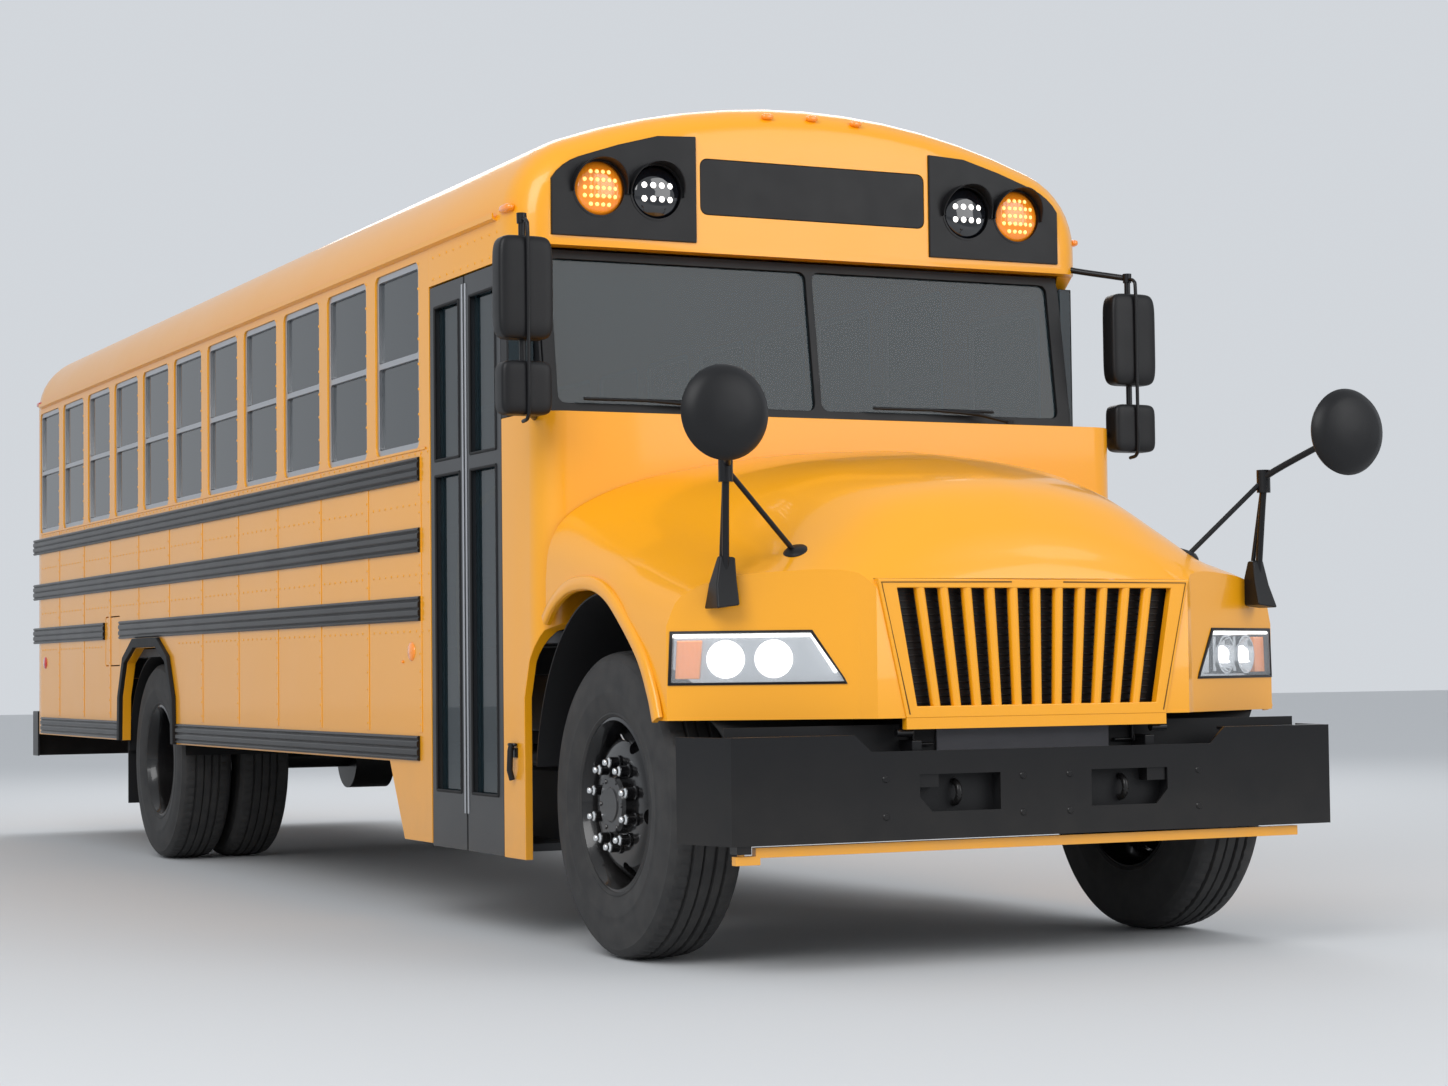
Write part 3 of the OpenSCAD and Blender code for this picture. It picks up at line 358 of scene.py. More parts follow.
class Shape:
    """Points and faces being gathered for one piece."""

    def __init__(self):
        """Starts with nothing gathered."""
        self.points, self.faces, self.count = [], [], 0

    def add(self, points, faces):
        """Adds a set of points and the faces between them."""
        points = np.asarray(points, float).reshape(-1, 3)
        self.points.append(points)
        self.faces += [[int(i) + self.count for i in face] for face in faces]
        self.count += len(points)
        return self

    def tube(self, grid, closed_path=False):
        """A grid of rings: each ring closes on itself, and the ends get flat caps unless the path closes."""
        rings, around = grid.shape[:2]
        faces = quads(rings, around, closed_path, True).tolist()
        if not closed_path:
            faces += [list(range(around)), list(range((rings - 1) * around, rings * around))[::-1]]
        return self.add(grid, faces)

    def turned(self, profile, centre, axis, segments=48):
        """A profile of (radius, along) pairs turned about an axis through a centre, closed at its ends."""
        frame_axes = axes_along(axis)
        angle = np.linspace(0, TURN, segments, endpoint=False)
        radius, along = np.array(profile, float).T
        around = np.cos(angle)[:, None] * frame_axes[0] + np.sin(angle)[:, None] * frame_axes[1]
        grid = centre + radius[:, None, None] * around + along[:, None, None] * frame_axes[2]
        return self.tube(grid)

    def ring(self, profile, centre, axis, segments=64):
        """A closed loop of (radius, along) pairs turned about an axis."""
        frame_axes = axes_along(axis)
        angle = np.linspace(0, TURN, segments, endpoint=False)
        radius, along = np.array(profile, float).T
        around = np.cos(angle)[:, None] * frame_axes[0] + np.sin(angle)[:, None] * frame_axes[1]
        grid = centre + radius[:, None, None] * around + along[:, None, None] * frame_axes[2]
        return self.add(grid, quads(*grid.shape[:2], True, True).tolist())

    def block(self, low, high):
        """A box between two corners."""
        low, high = np.minimum(low, high), np.maximum(low, high)
        pick = np.array([[0, 0], [1, 0], [1, 1], [0, 1]])
        ring = np.stack([np.where(pick[:, 0], high[0], low[0]), np.where(pick[:, 1], high[1], low[1])], -1)
        grid = np.stack([np.column_stack([ring, np.full(4, z)]) for z in (low[2], high[2])])
        return self.tube(grid)

    def plate(self, outline, origin, across, up, thickness):
        """A flat outline of (across, up) pairs given a thickness along across x up."""
        outline = np.array(outline, float)
        across, up = np.array(across, float), np.array(up, float)
        face = origin + outline[:, :1] * across + outline[:, 1:] * up
        return self.tube(np.stack([face, face + np.cross(across, up) * thickness]))

    def rod(self, path, radius, sides=12):
        """A round bar carried along a path of points."""
        path = np.array(path, float)
        steps = np.gradient(path, axis=0)
        steps /= np.linalg.norm(steps, axis=1)[:, None]
        side = np.cross(steps, [0.31, 0.17, 0.93])
        side /= np.linalg.norm(side, axis=1)[:, None]
        other = np.cross(steps, side)
        angle = np.linspace(0, TURN, sides, endpoint=False)
        grid = path[:, None] + radius * (
            np.cos(angle)[None, :, None] * side[:, None] + np.sin(angle)[None, :, None] * other[:, None])
        return self.tube(grid)

    def pillow(self, centre, half, power=0.35, columns=28, rows=16):
        """A crowned box: a superellipsoid whose sines and cosines are raised to a small power."""
        side = np.linspace(0, TURN, columns, endpoint=False)
        lift = np.linspace(-math.pi / 2 + 0.04, math.pi / 2 - 0.04, rows)

        def bent(wave):
            """A sine or cosine raised to the power, with its sign kept."""
            return np.sign(wave) * np.abs(wave) ** power

        ring = bent(np.cos(lift))[:, None]
        grid = np.stack([ring * bent(np.cos(side)), ring * bent(np.sin(side)),
                         np.broadcast_to(bent(np.sin(lift))[:, None], (rows, columns))], -1)
        return self.tube(np.array(centre) + grid * np.array(half))

    def heads(self, places, normal, radius, height=0.4, sides=8):
        """Round heads, such as rivets and bolts, at many places at once."""
        places = np.asarray(places, float).reshape(-1, 3)
        u, v, n = axes_along(normal)
        angle = np.linspace(0, TURN, sides, endpoint=False)
        ring = np.cos(angle)[:, None] * u + np.sin(angle)[:, None] * v
        one = np.concatenate([ring * radius, ring * radius * 0.7 + n * radius * height])
        faces = quads(2, sides, False, True).tolist()
        faces += [list(range(sides)), list(range(2 * sides - 1, sides - 1, -1))]
        points = (places[:, None] + one[None]).reshape(-1, 3)
        offset = np.arange(len(places)) * len(one)
        for start in offset:
            self.faces += [[i + int(start) + self.count for i in face] for face in faces]
        self.points.append(points)
        self.count += len(points)
        return self

    def make(self, name, finish, body, stands_for=(), slot=None, edge=0.0, angle=35.0):
        """Turns the gathered points into a finished piece on its body."""
        mesh = bpy.data.meshes.new(name)
        mesh.from_pydata(np.concatenate(self.points).tolist(), [], self.faces)
        return finished(name, mesh, finish, body, stands_for, edge, angle)


def axes_along(axis):
    """Two directions across an axis and the axis itself, each of length one."""
    axis = np.array(axis, float) / np.linalg.norm(axis)
    helper = np.array([0.0, 0.0, 1.0]) if abs(axis[2]) < 0.9 else np.array([1.0, 0.0, 0.0])
    across = np.cross(helper, axis)
    across /= np.linalg.norm(across)
    return across, np.cross(axis, across), axis


def finished(name, mesh, finish, body, stands_for, edge, angle):
    """Cleans a mesh, smooths it between its sharp edges, rounds those edges and puts it on its body."""
    work = bmesh.new()
    work.from_mesh(mesh)
    bmesh.ops.remove_doubles(work, verts=work.verts, dist=2e-5)
    bmesh.ops.recalc_face_normals(work, faces=work.faces)
    if edge:
        bmesh.ops.dissolve_limit(work, angle_limit=math.radians(0.6), verts=work.verts, edges=work.edges)
    work.to_mesh(mesh)
    work.free()
    if "custom_normal" in mesh.attributes:
        mesh.attributes.remove(mesh.attributes["custom_normal"])
    mesh.shade_smooth()
    mesh.set_sharp_from_angle(angle=math.radians(angle))
    piece = bpy.data.objects.new(name, mesh)
    bpy.context.scene.collection.objects.link(piece)
    mesh.materials.append(FINISHES[finish])
    if edge:
        bevel = piece.modifiers.new("edge", "BEVEL")
        bevel.width, bevel.segments, bevel.limit_method = edge, 2, "ANGLE"
        bevel.angle_limit, bevel.harden_normals = math.radians(angle), True
    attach(piece, body)
    if stands_for:
        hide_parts(*stands_for)
    return piece


def refined(node, name=None, finish=None, edge=0.003, angle=35.0):
    """A CAD node's own shape as a cleaned piece with rounded edges."""
    mesh = frame["nodes"][node].data.copy()
    mesh.materials.clear()
    return finished(name or node + "_finished", mesh, finish or SLOT_OF[node], BODY_OF[node], (node,),
                    edge, angle)


def along(x0, x1, pitch):
    """Evenly spaced stations from x0 to x1, about a pitch apart."""
    return np.linspace(x0, x1, max(2, int(round(abs(x1 - x0) / pitch)) + 1))


def spline(points, count):
    """Points on a Catmull-Rom curve through the first axis of an array, evenly spread over its stretches."""
    points = np.asarray(points, float)
    padded = np.concatenate([2 * points[:1] - points[1:2], points, 2 * points[-1:] - points[-2:-1]])
    place = np.linspace(0, len(points) - 1, count)
    start = np.minimum(place.astype(int), len(points) - 2)
    t = (place - start).reshape(-1, *[1] * (points.ndim - 1))
    a, b, c, d = (padded[start + k] for k in range(4))
    return 0.5 * (2 * b + (c - a) * t + (2 * a - 5 * b + 4 * c - d) * t**2 + (3 * b - a - 3 * c + d) * t**3)


def solid(shape):
    """A plain object from gathered points, for cutting with."""
    mesh = bpy.data.meshes.new("cutter")
    mesh.from_pydata(np.concatenate(shape.points).tolist(), [], shape.faces)
    work = bmesh.new()
    work.from_mesh(mesh)
    bmesh.ops.remove_doubles(work, verts=work.verts, dist=1e-6)
    bmesh.ops.recalc_face_normals(work, faces=work.faces)
    work.to_mesh(mesh)
    work.free()
    cutter = bpy.data.objects.new("cutter", mesh)
    bpy.context.scene.collection.objects.link(cutter)
    return cutter


def carved(base, steps):
    """The mesh of a solid after a row of (operation, shape) steps."""
    body = solid(base)
    cutters = []
    for operation, shape in steps:
        cutters.append(solid(shape))
        boolean = body.modifiers.new(operation, "BOOLEAN")
        boolean.operation, boolean.object, boolean.solver = operation, cutters[-1], "EXACT"
    graph = bpy.context.evaluated_depsgraph_get()
    mesh = bpy.data.meshes.new_from_object(body.evaluated_get(graph))
    for used in [body, *cutters]:
        bpy.data.objects.remove(used)
    return mesh


def prism(outline, flat, low, high):
    """A straight prism: the outline fills the axes that flat leaves, from low to high along flat."""
    outline = np.array(outline, float)
    rings = []
    for level in (low, high):
        ring = np.insert(outline, flat, level, axis=1)
        rings.append(ring)
    return Shape().tube(np.stack(rings))


# ---------------------------------------------------------------- nose
# each station: distance ahead of the front axle, then (across, up) from the lower side to the middle
NOSE_STATIONS = (
    (-0.472, ((1.205, 0.812), (1.205, 1.30), (1.19, 1.42), (1.13, 1.52), (1.0, 1.60), (0.80, 1.67),
              (0.50, 1.73), (0.25, 1.765), (0, 1.78))),
    (-0.20, ((1.205, 0.812), (1.205, 1.25), (1.185, 1.37), (1.11, 1.45), (0.96, 1.53), (0.76, 1.64),
             (0.48, 1.715), (0.24, 1.75), (0, 1.765))),
    (0.10, ((1.205, 0.812), (1.205, 1.19), (1.18, 1.31), (1.08, 1.39), (0.90, 1.46), (0.70, 1.59),
            (0.47, 1.68), (0.24, 1.718), (0, 1.735))),
    (0.35, ((1.20, 0.812), (1.20, 1.13), (1.165, 1.25), (1.05, 1.33), (0.86, 1.40), (0.66, 1.53),
            (0.46, 1.63), (0.24, 1.672), (0, 1.69))),
    (0.64, ((1.18, 0.812), (1.18, 1.11), (1.13, 1.20), (1.0, 1.27), (0.82, 1.33), (0.64, 1.43),
            (0.45, 1.53), (0.24, 1.58), (0, 1.60))),
    (0.78, ((1.15, 0.812), (1.15, 1.09), (1.09, 1.16), (0.96, 1.215), (0.79, 1.265), (0.62, 1.33),
            (0.44, 1.40), (0.23, 1.45), (0, 1.47))),
    (0.85, ((1.12, 0.812), (1.12, 1.08), (1.06, 1.12), (0.93, 1.16), (0.77, 1.20), (0.60, 1.25),
            (0.43, 1.285), (0.22, 1.312), (0, 1.325))),
    (0.88, ((1.10, 0.812), (1.10, 1.07), (1.04, 1.105), (0.91, 1.135), (0.75, 1.165), (0.59, 1.195),
            (0.42, 1.22), (0.22, 1.235), (0, 1.242))),
)
NOSE_PLAN = ((-0.472, 1.206), (0.47, 1.206), (0.52, 1.198), (0.82, 0.64), (0.86, 0.60), (0.872, 0.30),
             (0.875, 0.0))
ARCH = ((-0.50, 0.70), (-0.50, 1.139), (-0.466, 1.139), (-0.40, 1.19), (-0.30, 1.232), (-0.20, 1.25),
        (-0.06, 1.248),
        (0.06, 1.215), (0.175, 1.144), (0.337, 1.01), (0.42, 0.89), (0.458, 0.805), (0.47, 0.70))
GRILLE = ((0.50, 0.812), (0.60, 1.262))
LAMP_FACE = ((0.012, 0.925), (0.592, 0.925), (0.582, 0.945), (0.48, 1.10), (0.02, 1.10))


def nose_volume(inset):
    """The nose as a solid: curves through the stations both ways, moved in by inset all round."""
    rings = []
    for ahead, half in NOSE_STATIONS:
        curve = np.concatenate([half[:1], spline(half[1:], 30)])
        curve[:, 0] = np.maximum(curve[:, 0] - inset, 0)
        curve[1:, 1] -= inset
        curve[0, 1] -= 0.006 if inset else 0
        whole = np.concatenate([curve, (curve * [-1, 1])[-2::-1]])
        rings.append(np.insert(whole, 0, FRONT_AXLE + ahead - (0.001 if inset and ahead < -0.4 else 0),
                               axis=1))
    shape = Shape().tube(spline(rings, 56))
    plan = np.array(NOSE_PLAN) - [inset, inset]
    plan[:, 0] += FRONT_AXLE - (0.002 if inset else 0) * (plan[:, 0] < 0)
    plan[-1, 1] = 0
    plan = np.concatenate([plan, (plan * [1, -1])[-2::-1]])
    return shape, prism(plan, 2, 0.70, 1.95)


def lamp_frame(side):
    """Origin, inward direction along the lamp's face, up, and outward normal, for a side of +1 or -1."""
    along_face = np.array([0.30, -0.558 * side, 0]) / math.hypot(0.30, 0.558)
    outward = np.array([0.558, 0.30 * side, 0]) / math.hypot(0.30, 0.558)
    return np.array([FRONT_AXLE + 0.52, 1.198 * side, 0]), along_face, np.array([0, 0, 1.0]), outward


def face_prism(outline, side, back, front):
    """A prism on a lamp's face between two depths."""
    origin, across, up, outward = lamp_frame(side)
    outline = np.array(outline, float)
    face = origin + outline[:, :1] * across + outline[:, 1:] * up
    return Shape().tube(np.stack([face + outward * back, face + outward * front]))


def arch_line(grow):
    """The wheel opening's line, rear notch to front foot, moved out by grow, as (ahead, up) pairs."""
    line = spline(np.array(ARCH)[2:12], 60)
    step = np.gradient(line, axis=0)
    normal = np.stack([-step[:, 1], step[:, 0]], -1)
    return line + grow * normal / np.linalg.norm(normal, axis=1)[:, None]


class BUS_OT_nose(bpy.types.Operator):
    """Adds the hood with its fenders, the grille and the crossover mirrors"""

    bl_idname = "bus.nose"
    bl_label = "Nose"

    def execute(self, context):
        """Builds the nose."""
        outer, plan = nose_volume(0)
        inner, inner_plan = nose_volume(0.014)
        opening = np.array(GRILLE) + [0.0005, 0.0]
        hole = np.array([[-opening[0, 0], 0.70], [opening[0, 0], 0.70], opening[0], opening[1],
                         opening[1] * [-1, 1], opening[0] * [-1, 1]])
        hole[3:5, 1] += 0.001
        arch = np.concatenate([np.array(ARCH)[:2], arch_line(0), np.array(ARCH)[-1:]]) + [FRONT_AXLE, 0]
        void = carved(inner, [("INTERSECT", inner_plan)])
        space = Shape()
        points = np.empty(len(void.vertices) * 3)
        void.vertices.foreach_get("co", points)
        space.add(points, [list(face.vertices) for face in void.polygons])
        steps = [("INTERSECT", plan), ("DIFFERENCE", space),
                 ("DIFFERENCE", prism(hole, 0, FRONT_AXLE + 0.60, FRONT_AXLE + 1.0))]
        for side in (1, -1):
            steps.append(("DIFFERENCE", prism(arch, 1, 0.90 * side, 1.40 * side)))
            steps.append(("DIFFERENCE", face_prism(LAMP_FACE, side, -0.06, 0.10)))
        mesh = carved(outer, steps)
        finished("hood_smooth", mesh, "yellow_paint", BODY_OF["hood"], ("hood",), 0, 38)
        self.lips()
        self.liners()
        self.grille()
        self.mirrors()
        refined("hood_hinges")
        return {"FINISHED"}

    def lips(self):
        """Rolled lips round the wheel openings: a flat oval carried along the arch."""
        lips = Shape()
        for side in (1, -1):
            inner, outer = arch_line(0.002), arch_line(0.05)
            rows = []
            for share, y in ((0, 1.196), (0, 1.212), (0.12, 1.217), (0.85, 1.214), (1, 1.206), (1, 1.196)):
                line = inner * (1 - share) + outer * share
                rows.append(np.stack([FRONT_AXLE + line[:, 0], np.full(60, y * side), line[:, 1]], -1))
            lips.tube(np.stack(rows, 1))
        lips.make("fender_lips", "yellow_paint", BODY_OF["hood"], angle=50)

    def liners(self):
        """Dark wheel housings under the fenders: half an ellipse carried across, closed on its inner side."""
        shape = Shape()
        lift = np.radians(np.linspace(9, 171, 40))
        outer = np.minimum(1.185, 1.165 - (0.63 * np.cos(lift) - 0.52) * 1.86)
        for side in (1, -1):
            rows = [np.stack([FRONT_AXLE + (0.63 + grow) * np.cos(lift), side * y,
                              HUB_Z + (0.715 + grow) * np.sin(lift)], -1)
                    for grow, y in ((0, outer * 0 + 0.545), (0, outer), (0.006, outer),
                                    (0.006, outer * 0 + 0.545))]
            shape.tube(np.stack(rows, 1))
            fan = np.stack([0.63 * np.cos(lift), 0.715 * np.sin(lift)], -1) + [FRONT_AXLE, HUB_Z]
            shape.tube(np.stack([np.insert(fan, 1, side * y, axis=1) for y in (0.541, 0.547)]))
        shape.make("wheel_housings", "trim_rubber", BODY_OF["hood"])

    def grille(self):
        """The surround and its bars: each bar has a round front, and a dark screen stands behind."""
        x0, x1 = FRONT_AXLE + 0.838, FRONT_AXLE + 0.870
        outline = [(-0.50, 0.812), (0.50, 0.812), (0.60, 1.262), (-0.60, 1.262)]
        window = [(-0.46, 0.85), (0.46, 0.85), (0.528, 1.232), (-0.528, 1.232)]
        mesh = carved(prism(outline, 0, x0, x1), [("DIFFERENCE", prism(window, 0, x0 - 0.1, x1 + 0.1))])
        finished("grille_surround", mesh, "yellow_paint", BODY_OF["grille"], ("grille",),
                 0.004, 35)
        bars = Shape()
        angle = np.linspace(0, TURN, 16, endpoint=False)
        for share in np.arange(-5, 6) / 6:
            low = np.array([x0 + 0.014, share * 0.46, 0.846])
            high = np.array([x0 + 0.014, share * 0.528, 1.236])
            ring = np.stack([0.017 * np.sign(np.cos(angle)) * np.abs(np.cos(angle)) ** 0.7,
                             0.0155 * np.sin(angle), np.zeros(16)], -1)
            bars.tube(np.stack([low + ring, high + ring * [1, 1.12, 1]]))
        bars.block((FRONT_AXLE + 0.840, -0.50, 0.776), (FRONT_AXLE + 0.868, 0.50, 0.8125))
        bars.make("grille_bars", "yellow_paint", BODY_OF["grille"])
        screen = prism([(-0.48, 0.83), (0.48, 0.83), (0.56, 1.245), (-0.56, 1.245)], 0, FRONT_AXLE + 0.812,
                       FRONT_AXLE + 0.818)
        for z in np.arange(0.86, 1.23, 0.022):
            screen.rod([(FRONT_AXLE + 0.821, -0.45 - (z - 0.86) * 0.18, z),
                        (FRONT_AXLE + 0.821, 0.45 + (z - 0.86) * 0.18, z)], 0.003, 6)
        screen.make("grille_screen", "black_plastic", BODY_OF["grille"])
        # painted shade: a thin rod in darkened yellow along the surround's outer and top edges stands for the
        # shade in the groove
        line = Shape()
        for side in (1, -1):
            path = [(FRONT_AXLE + 0.8705, side * y, z)
                    for y, z in ((0.488, 0.824), (0.586, 1.25), (0.10, 1.252))]
            line.rod(path, 0.0022, 6)
        line.make("grille_groove_painted_shade", "seam_painted_shade", BODY_OF["grille"])

    def mirrors(self):
        """Crossover mirrors: a domed back, a bright convex face towards the driver, and hooked arms."""
        high = corners("crossover_mirrors")[1]
        radius = 0.150
        arms, backs, faces, feet = Shape(), Shape(), Shape(), Shape()
        for side in (1, -1):
            centre = np.array([high[0] - 0.03, side * 1.19, high[2] - radius])
            backs.turned([(0.001, 0.03), (0.05, 0.028), (0.11, 0.018), (0.140, 0.0), (radius, -0.018),
                          (0.146, -0.028),
                          (0.139, -0.026), (0.001, -0.026)], centre, (1, 0, 0), 56)
            faces.turned([(0.001, 0.075), (0.045, 0.068), (0.095, 0.05), (0.128, 0.032), (0.140, 0.026),
                          (0.001, 0.026)],
                         centre, (-1, 0, 0), 56)
            foot = np.array([FRONT_AXLE + 0.66, side * 1.04, 1.262])
            elbow = np.array([FRONT_AXLE + 0.69, side * 1.05, 1.62])
            hang = centre + [-0.03, 0, 0]
            bend = spline([foot, elbow + [0, 0, -0.03], elbow + [0.02, side * 0.003, 0.015], hang], 22)
            arms.rod(bend, 0.012)
            arms.rod([(FRONT_AXLE + 0.62, side * 0.76, 1.345), elbow], 0.009)
            arms.rod([foot + [-0.03, 0, 0.06], elbow + [-0.01, 0, -0.04]], 0.008)
            arms.rod([elbow + [0, 0, -0.045], elbow + [0, 0, 0.035]], 0.024, 16)
            x0, x1, y0, y1 = FRONT_AXLE + 0.60, FRONT_AXLE + 0.705, side * 1.01, side * 1.09
            feet.tube(np.stack([
                np.array([(x0, y0, 1.18), (x1, y0, 1.18), (x1, y1, 1.17), (x0, y1, 1.17)]),
                np.array([(x0 + 0.01, y0, 1.26), (x1 - 0.02, y0, 1.26),
                          (x1 - 0.03, y1 - side * 0.012, 1.25), (x0 + 0.01, y1 - side * 0.012, 1.25)]),
                np.array([(x0 + 0.04, y0, 1.335), (x1 - 0.03, y0, 1.335),
                          (x1 - 0.04, y1 - side * 0.03, 1.34), (x0 + 0.04, y1 - side * 0.03, 1.34)]),
            ]))
            feet.turned([(0.001, 0.03), (0.03, 0.028), (0.046, 0.016), (0.05, 0.0), (0.05, -0.01),
                         (0.001, -0.01)],
                        np.array([FRONT_AXLE + 0.62, side * 0.76, 1.345]), (0.25, side * 0.3, 1), 32)
        backs.make("crossover_backs", "black_plastic", BODY_OF["crossover_mirrors"], ("crossover_mirrors",))
        faces.make("crossover_faces", "mirror_face", BODY_OF["crossover_mirrors"], slot="black_plastic")
        arms.make("crossover_arms", "black_paint", BODY_OF["crossover_mirrors"])
        feet.make("crossover_feet", "black_plastic", BODY_OF["crossover_mirrors"], edge=0.006)


class BUS_OT_headlamps(bpy.types.Operator):
    """Adds the headlamps: bucket, bowls, amber end and clear cover"""

    bl_idname = "bus.headlamps"
    bl_label = "Headlamps"

    def execute(self, context):
        """Builds both headlamps."""
        bucket, bowls, lit, amber, cover, rim = (Shape() for _ in range(6))
        edge = np.array(LAMP_FACE)
        centre = np.array([0.295, 1.010])
        for side in (1, -1):
            origin, across, up, outward = lamp_frame(side)

            def at(u, z, depth):
                """A point on the lamp's face, moved outward by depth."""
                return origin + across * u + up * z + outward * depth

            def ring(scale, depth):
                """The lamp's outline scaled about its middle, moved outward by depth."""
                shape = centre + (edge - centre) * scale
                return origin + shape[:, :1] * across + shape[:, 1:] * up + outward * depth

            bucket.tube(np.stack([ring((0.995, 0.99), -0.05), ring((0.995, 0.99), -0.046)]))
            rim.tube(np.stack([ring((0.998, 0.995), -0.045), ring((0.998, 0.995), 0.004),
                               ring((0.965, 0.91), 0.007),
                               ring(COVER_SHARE, -0.045)]), closed_path=True)
            cover.tube(np.stack([ring(COVER_SHARE, -0.001), ring(COVER_SHARE, 0.003)]))
            for u, radius in ((0.20, 0.062), (0.355, 0.062)):
                bowls.turned([(0.001, -0.026), (radius * 0.5, -0.022), (radius * 0.85, -0.008),
                              (radius, 0.006),
                              (radius + 0.006, 0.006), (radius + 0.006, -0.034), (0.001, -0.034)],
                             at(u, 1.008, -0.012), outward, 40)
                lit.turned([(0.001, 0.010), (radius * 0.35, 0.006), (radius * 0.50, -0.006),
                            (radius * 0.50, -0.014),
                            (0.001, -0.014)], at(u, 1.008, -0.012), outward, 32)
            # painted highlight: a glowing rod just inside the cover's top and outer edges stands for the
            # light caught there; the glow in the bowls above is the lamps' own light
            lit.rod([at(0.03, 1.084, -0.008), at(0.475, 1.084, -0.008), at(0.555, 0.962, -0.008)], 0.006)
            for u in (0.275, 0.43):
                bowls.tube(np.stack([np.array([at(u + du, z, d) for du, z in ((-0.012, 0.95), (0.012, 0.95),
                                                                              (0.010, 1.07),
                                                                              (-0.010, 1.07))])
                                     for d in (-0.044, -0.014)]))
            amber.tube(np.stack([np.array([at(u, z, d) for u, z in ((0.035, 0.945), (0.115, 0.945),
                                                                    (0.125, 1.07), (0.042, 1.07))])
                                 for d in (-0.04, -0.012)]))
            bowls.tube(np.stack([np.array([at(u, z, d) for u, z in ((0.46, 0.945), (0.555, 0.945),
                                                                    (0.49, 1.06), (0.455, 1.06))])
                                 for d in (-0.042, -0.022)]))
        body = BODY_OF["headlamps"]
        bucket.make("headlamp_buckets", "chrome", body, ("headlamps",), slot="lamp_clear")
        rim.make("headlamp_rims", "black_plastic", body)
        bowls.make("headlamp_bowls", "chrome", body, slot="lamp_clear")
        lit.make("headlamp_lights_and_painted_highlight", "lamp_lit", body, slot="lamp_clear")
        amber.make("headlamp_amber", "amber_lens", body, edge=0.004)
        cover.make("headlamp_covers", "lamp_clear", body)
        return {"FINISHED"}


# ---------------------------------------------------------------- wheels
TYRE_WALL = ((0.288, 0.105), (0.298, 0.121), (0.306, 0.126), (0.312, 0.124), (0.345, 0.1355),
             (0.372, 0.1385), (0.376, 0.1395),
             (0.384, 0.1395), (0.388, 0.1385), (0.41, 0.140), (0.44, 0.139), (0.470, 0.134), (0.482, 0.131),
             (0.488, 0.131),
             (0.500, 0.122), (0.510, 0.112))


def tyre(shape, centre, turns=216):
    """A tyre: walls are the profile turned about the axle; the tread's radius drops in four round grooves,
    in fine cuts across the ribs and in notches round each shoulder."""
    across = np.linspace(-0.098, 0.098, 41)
    angle = np.arange(turns) * TURN / turns
    depth = sizes().tread_depth
    groove = np.min(np.abs(across[None, :] - np.array([-0.062, -0.021, 0.021, 0.062])[:, None]), 0) < 0.0035
    cut = (np.arange(turns)[:, None] % 3 == 0) * (0.25 + 0.5 * (np.abs(across)[None, :] > 0.066))
    crown = TYRE_R - 0.0005 - 0.006 * (np.abs(across) / 0.098) ** 4
    radius = crown[None, :] - depth * np.maximum(groove[None, :] * 1.0, cut * 0.5)
    wall = np.array(TYRE_WALL)
    inside = [(0.325, 0.088), (0.40, 0.110), (0.470, 0.100), (0.496, 0.060)]
    inside = np.array(inside + [(r, -y) for r, y in inside[::-1]])
    parts = [np.broadcast_to((wall * [1, -1])[None], (turns, *wall.shape)),
             np.stack([radius, np.broadcast_to(across, radius.shape)], -1),
             np.broadcast_to(wall[::-1][None], (turns, *wall.shape)),
             np.broadcast_to(inside[None], (turns, *inside.shape))]
    ring = np.concatenate(parts, 1)
    points = np.stack([ring[..., 0] * np.sin(angle)[:, None], ring[..., 1],
                       ring[..., 0] * np.cos(angle)[:, None]], -1)
    shape.add(points + centre, quads(*points.shape[:2], True, True).tolist())


